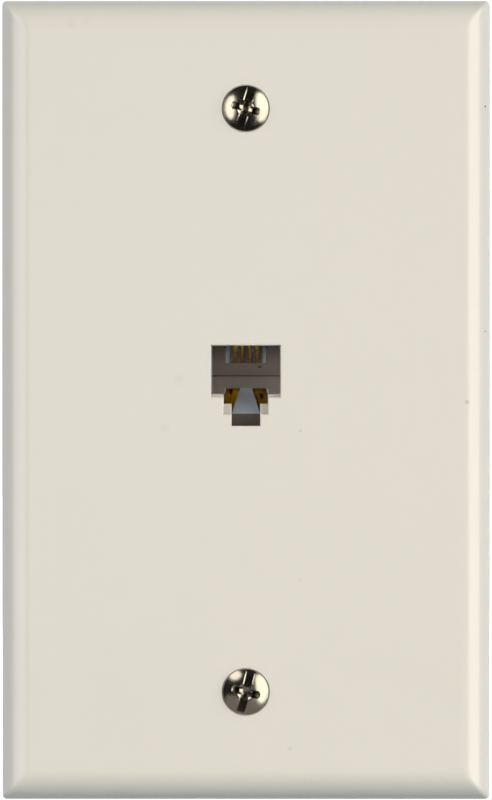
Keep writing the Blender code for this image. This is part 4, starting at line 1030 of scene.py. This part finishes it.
addCopies(["terminal_block"], ivoryPlastic, 0.10 * mm)
for kind, material, slotName, width in (("threaded_insert_", brassStrip, "brass", 0.04 * mm),
                                        ("fork_lug_", tinnedCopper, "tinned_copper", 0.08 * mm),
                                        ("terminal_washer_", zincPlate, "zinc_plate", 0.10 * mm),
                                        ("terminal_screw_", zincPlate, "zinc_plate", 0.06 * mm)):
    addCopies([kind + name for name in lineNames], material, width)
addCopies(["block_screw_left", "block_screw_right"], zincPlate, 0.06 * mm)
print("scene: terminal block")


# Stage, light and camera

stageLooks = {
    "floorZ": -57.2 * mm, "floorSize": 3.0, "floorColour": (0.74, 0.73, 0.71), "floorGlow": 0.9,
    "cameraDistance": 1.5, "cameraAngles": (0.3, 0.3), "frameHeight": 114.70 * mm, "sensor": 36,
}

# "from" is azimuth and elevation in degrees and the distance in metres; "lit" links a lamp to some screws.
# Lamps that lie in one direction have their own distances, because ones that coincide lose their gloss.
lampLooks = {
    "keyBright": {"from": (55, 6.5, 0.90), "size": (0.74, 1.6), "power": 5.7855, "colour": (1.0, 0.91, 0.78)},
    "keySoft": {"from": (55, 6.5, 0.92), "size": (0.76, 1.64), "power": 5.281, "colour": (0.826, 0.906, 1.0),
                "gloss": False},
    "sideSoft": {"from": (-52, 6.5, 0.92), "size": (0.56, 1.22), "power": 2.541,
                 "colour": (0.757, 0.858, 1.0), "gloss": False},
    "sideSheen": {"from": (-50, 6.5, 0.90), "size": (0.80, 1.2), "power": 3.575, "colour": (1.0, 0.95, 0.88),
                  "lit": ("EXCLUDE", "Top", "Bottom")},
    "sideCard": {"from": (-52, 6.5, 0.88), "size": (0.54, 1.18), "power": 3.1, "colour": (1.0, 0.91, 0.78),
                 "lit": ("INCLUDE", "Top")},
    "frontLight": {"from": (-3, 4, 0.8), "size": (0.25, 0.25), "power": 0.76, "gloss": False},
    "backLight": {"from": (155, 25, 0.9), "size": (0.5, 0.5), "power": 5.0},
    "lowCard": {"from": (-6, -46, 0.14), "size": (0.45, 0.18), "power": 0.056, "colour": (1.0, 0.87, 0.76),
                "aim": (0, 0, -42 * mm), "shape": "RECTANGLE", "lit": ("INCLUDE", "Bottom")},
    "highCard": {"from": (-48, 46, 0.6), "size": (0.40, 0.34), "power": 0.56, "colour": (1.0, 0.91, 0.78),
                 "lit": ("INCLUDE", "Bottom")},
}

# the pairs say between which Y or Z of a direction one light passes into the next
worldLooks = {
    "seen": (1.0, 1.0, 1.0), "mirrored": (0.012, 0.012, 0.012),
    "mirroredBehind": (0.55, 0.56, 0.58), "mirroredY": (0.25, 0.75),
    "front": (0.015, 0.025, 0.04), "low": (0.010, 0.055, 0.11), "lowZ": (-0.2, -0.8),
    "high": (0.20, 0.20, 0.19), "highZ": (0.2, 0.8), "beside": (0.06, 0.19, 0.40), "besideY": (0.0, 0.1),
    "behind": (0.46, 0.44, 0.41), "behindY": (0.35, 0.6),
}


def placeAround(item, azimuth, elevation, distance, aim=(0, 0, 0)):
    azimuth, elevation = radians(azimuth), radians(elevation)
    heading = Vector((sin(azimuth) * cos(elevation), -cos(azimuth) * cos(elevation),
                      sin(elevation)))
    item.location = Vector(aim) + heading * distance
    item.rotation_euler = heading.to_track_quat("Z", "Y").to_euler()
    show(item)


def addLamp(name, look):
    data = bpy.data.lights.new(name, "AREA")
    data.shape = look.get("shape", "ELLIPSE")
    data.size, data.size_y = look["size"]
    data.energy = look["power"]
    data.color = look.get("colour", (1, 1, 1))
    item = bpy.data.objects.new(name, data)
    item.visible_camera = False
    item.visible_glossy = look.get("gloss", True)
    placeAround(item, *look["from"], look.get("aim", (0, 0, 0)))
    if "lit" in look:
        state, *ends = look["lit"]
        receivers = bpy.data.collections.new(name + "Receivers")
        for end in ends:
            receivers.objects.link(mountingScrews[end])
        for entry in receivers.collection_objects:
            entry.light_linking.link_state = state
        item.light_linking.receiver_collection = receivers


def makeStage():
    bm = bmesh.new()
    bmesh.ops.create_grid(bm, x_segments=8, y_segments=8, size=stageLooks["floorSize"])
    bmesh.ops.translate(bm, vec=(0, 0, stageLooks["floorZ"]), verts=bm.verts)
    floor = show(bpy.data.objects.new("floor", finishMesh(bm, "floor")))
    if floor.data.polygons[0].normal.z < 0:
        floor.data.flip_normals()
    material, tree, shader = newMaterial("floorPaper")
    speckle = noiseNode(tree, coordinate(tree), 60.0, detail=4.0)
    low = tuple(v * 0.97 for v in stageLooks["floorColour"])
    feed(tree, mixColour(tree, speckle, stageLooks["floorColour"], low), shader.inputs["Base Color"])
    shader.inputs["Roughness"].default_value = 0.8
    shader.inputs["Emission Strength"].default_value = stageLooks["floorGlow"]
    floor.data.materials.append(material)
    # the object neither mirrors the floor nor is lit by it
    floor.visible_glossy = floor.visible_diffuse = floor.visible_shadow = False


def makeWorld():
    looks = worldLooks
    world = bpy.data.worlds.new("studio")
    bpy.context.scene.world = world
    world.use_nodes = True
    tree = world.node_tree
    heading = axisParts(tree, coordinate(tree, "Generated"))
    rays = tree.nodes.new("ShaderNodeLightPath").outputs
    gloss = mixColour(tree, rangeNode(tree, heading["Y"], *looks["mirroredY"]), looks["mirrored"],
                      looks["mirroredBehind"])
    ambient = looks["front"]
    for label, axis in (("low", "Z"), ("high", "Z"), ("beside", "Y"), ("behind", "Y")):
        ambient = mixColour(tree, rangeNode(tree, heading[axis], *looks[label + axis]), ambient, looks[label])
    unseen = mixColour(tree, rays["Is Glossy Ray"], ambient, gloss)
    background = tree.nodes["Background"].inputs["Color"]
    feed(tree, mixColour(tree, rays["Is Camera Ray"], unseen, looks["seen"]), background)


def makeCamera():
    data = bpy.data.cameras.new("camera")
    data.sensor_fit = "VERTICAL"
    data.sensor_height = stageLooks["sensor"]
    data.lens = stageLooks["sensor"] * stageLooks["cameraDistance"] / stageLooks["frameHeight"]
    data.clip_start = 0.01
    item = bpy.data.objects.new("camera", data)
    placeAround(item, *stageLooks["cameraAngles"], stageLooks["cameraDistance"])
    bpy.context.scene.camera = item


bpy.context.scene.view_settings.view_transform = "Standard"
bpy.context.scene.view_settings.look = "None"
for name, look in lampLooks.items():
    addLamp(name, look)
makeWorld()
makeStage()
makeCamera()

print("scene: done")
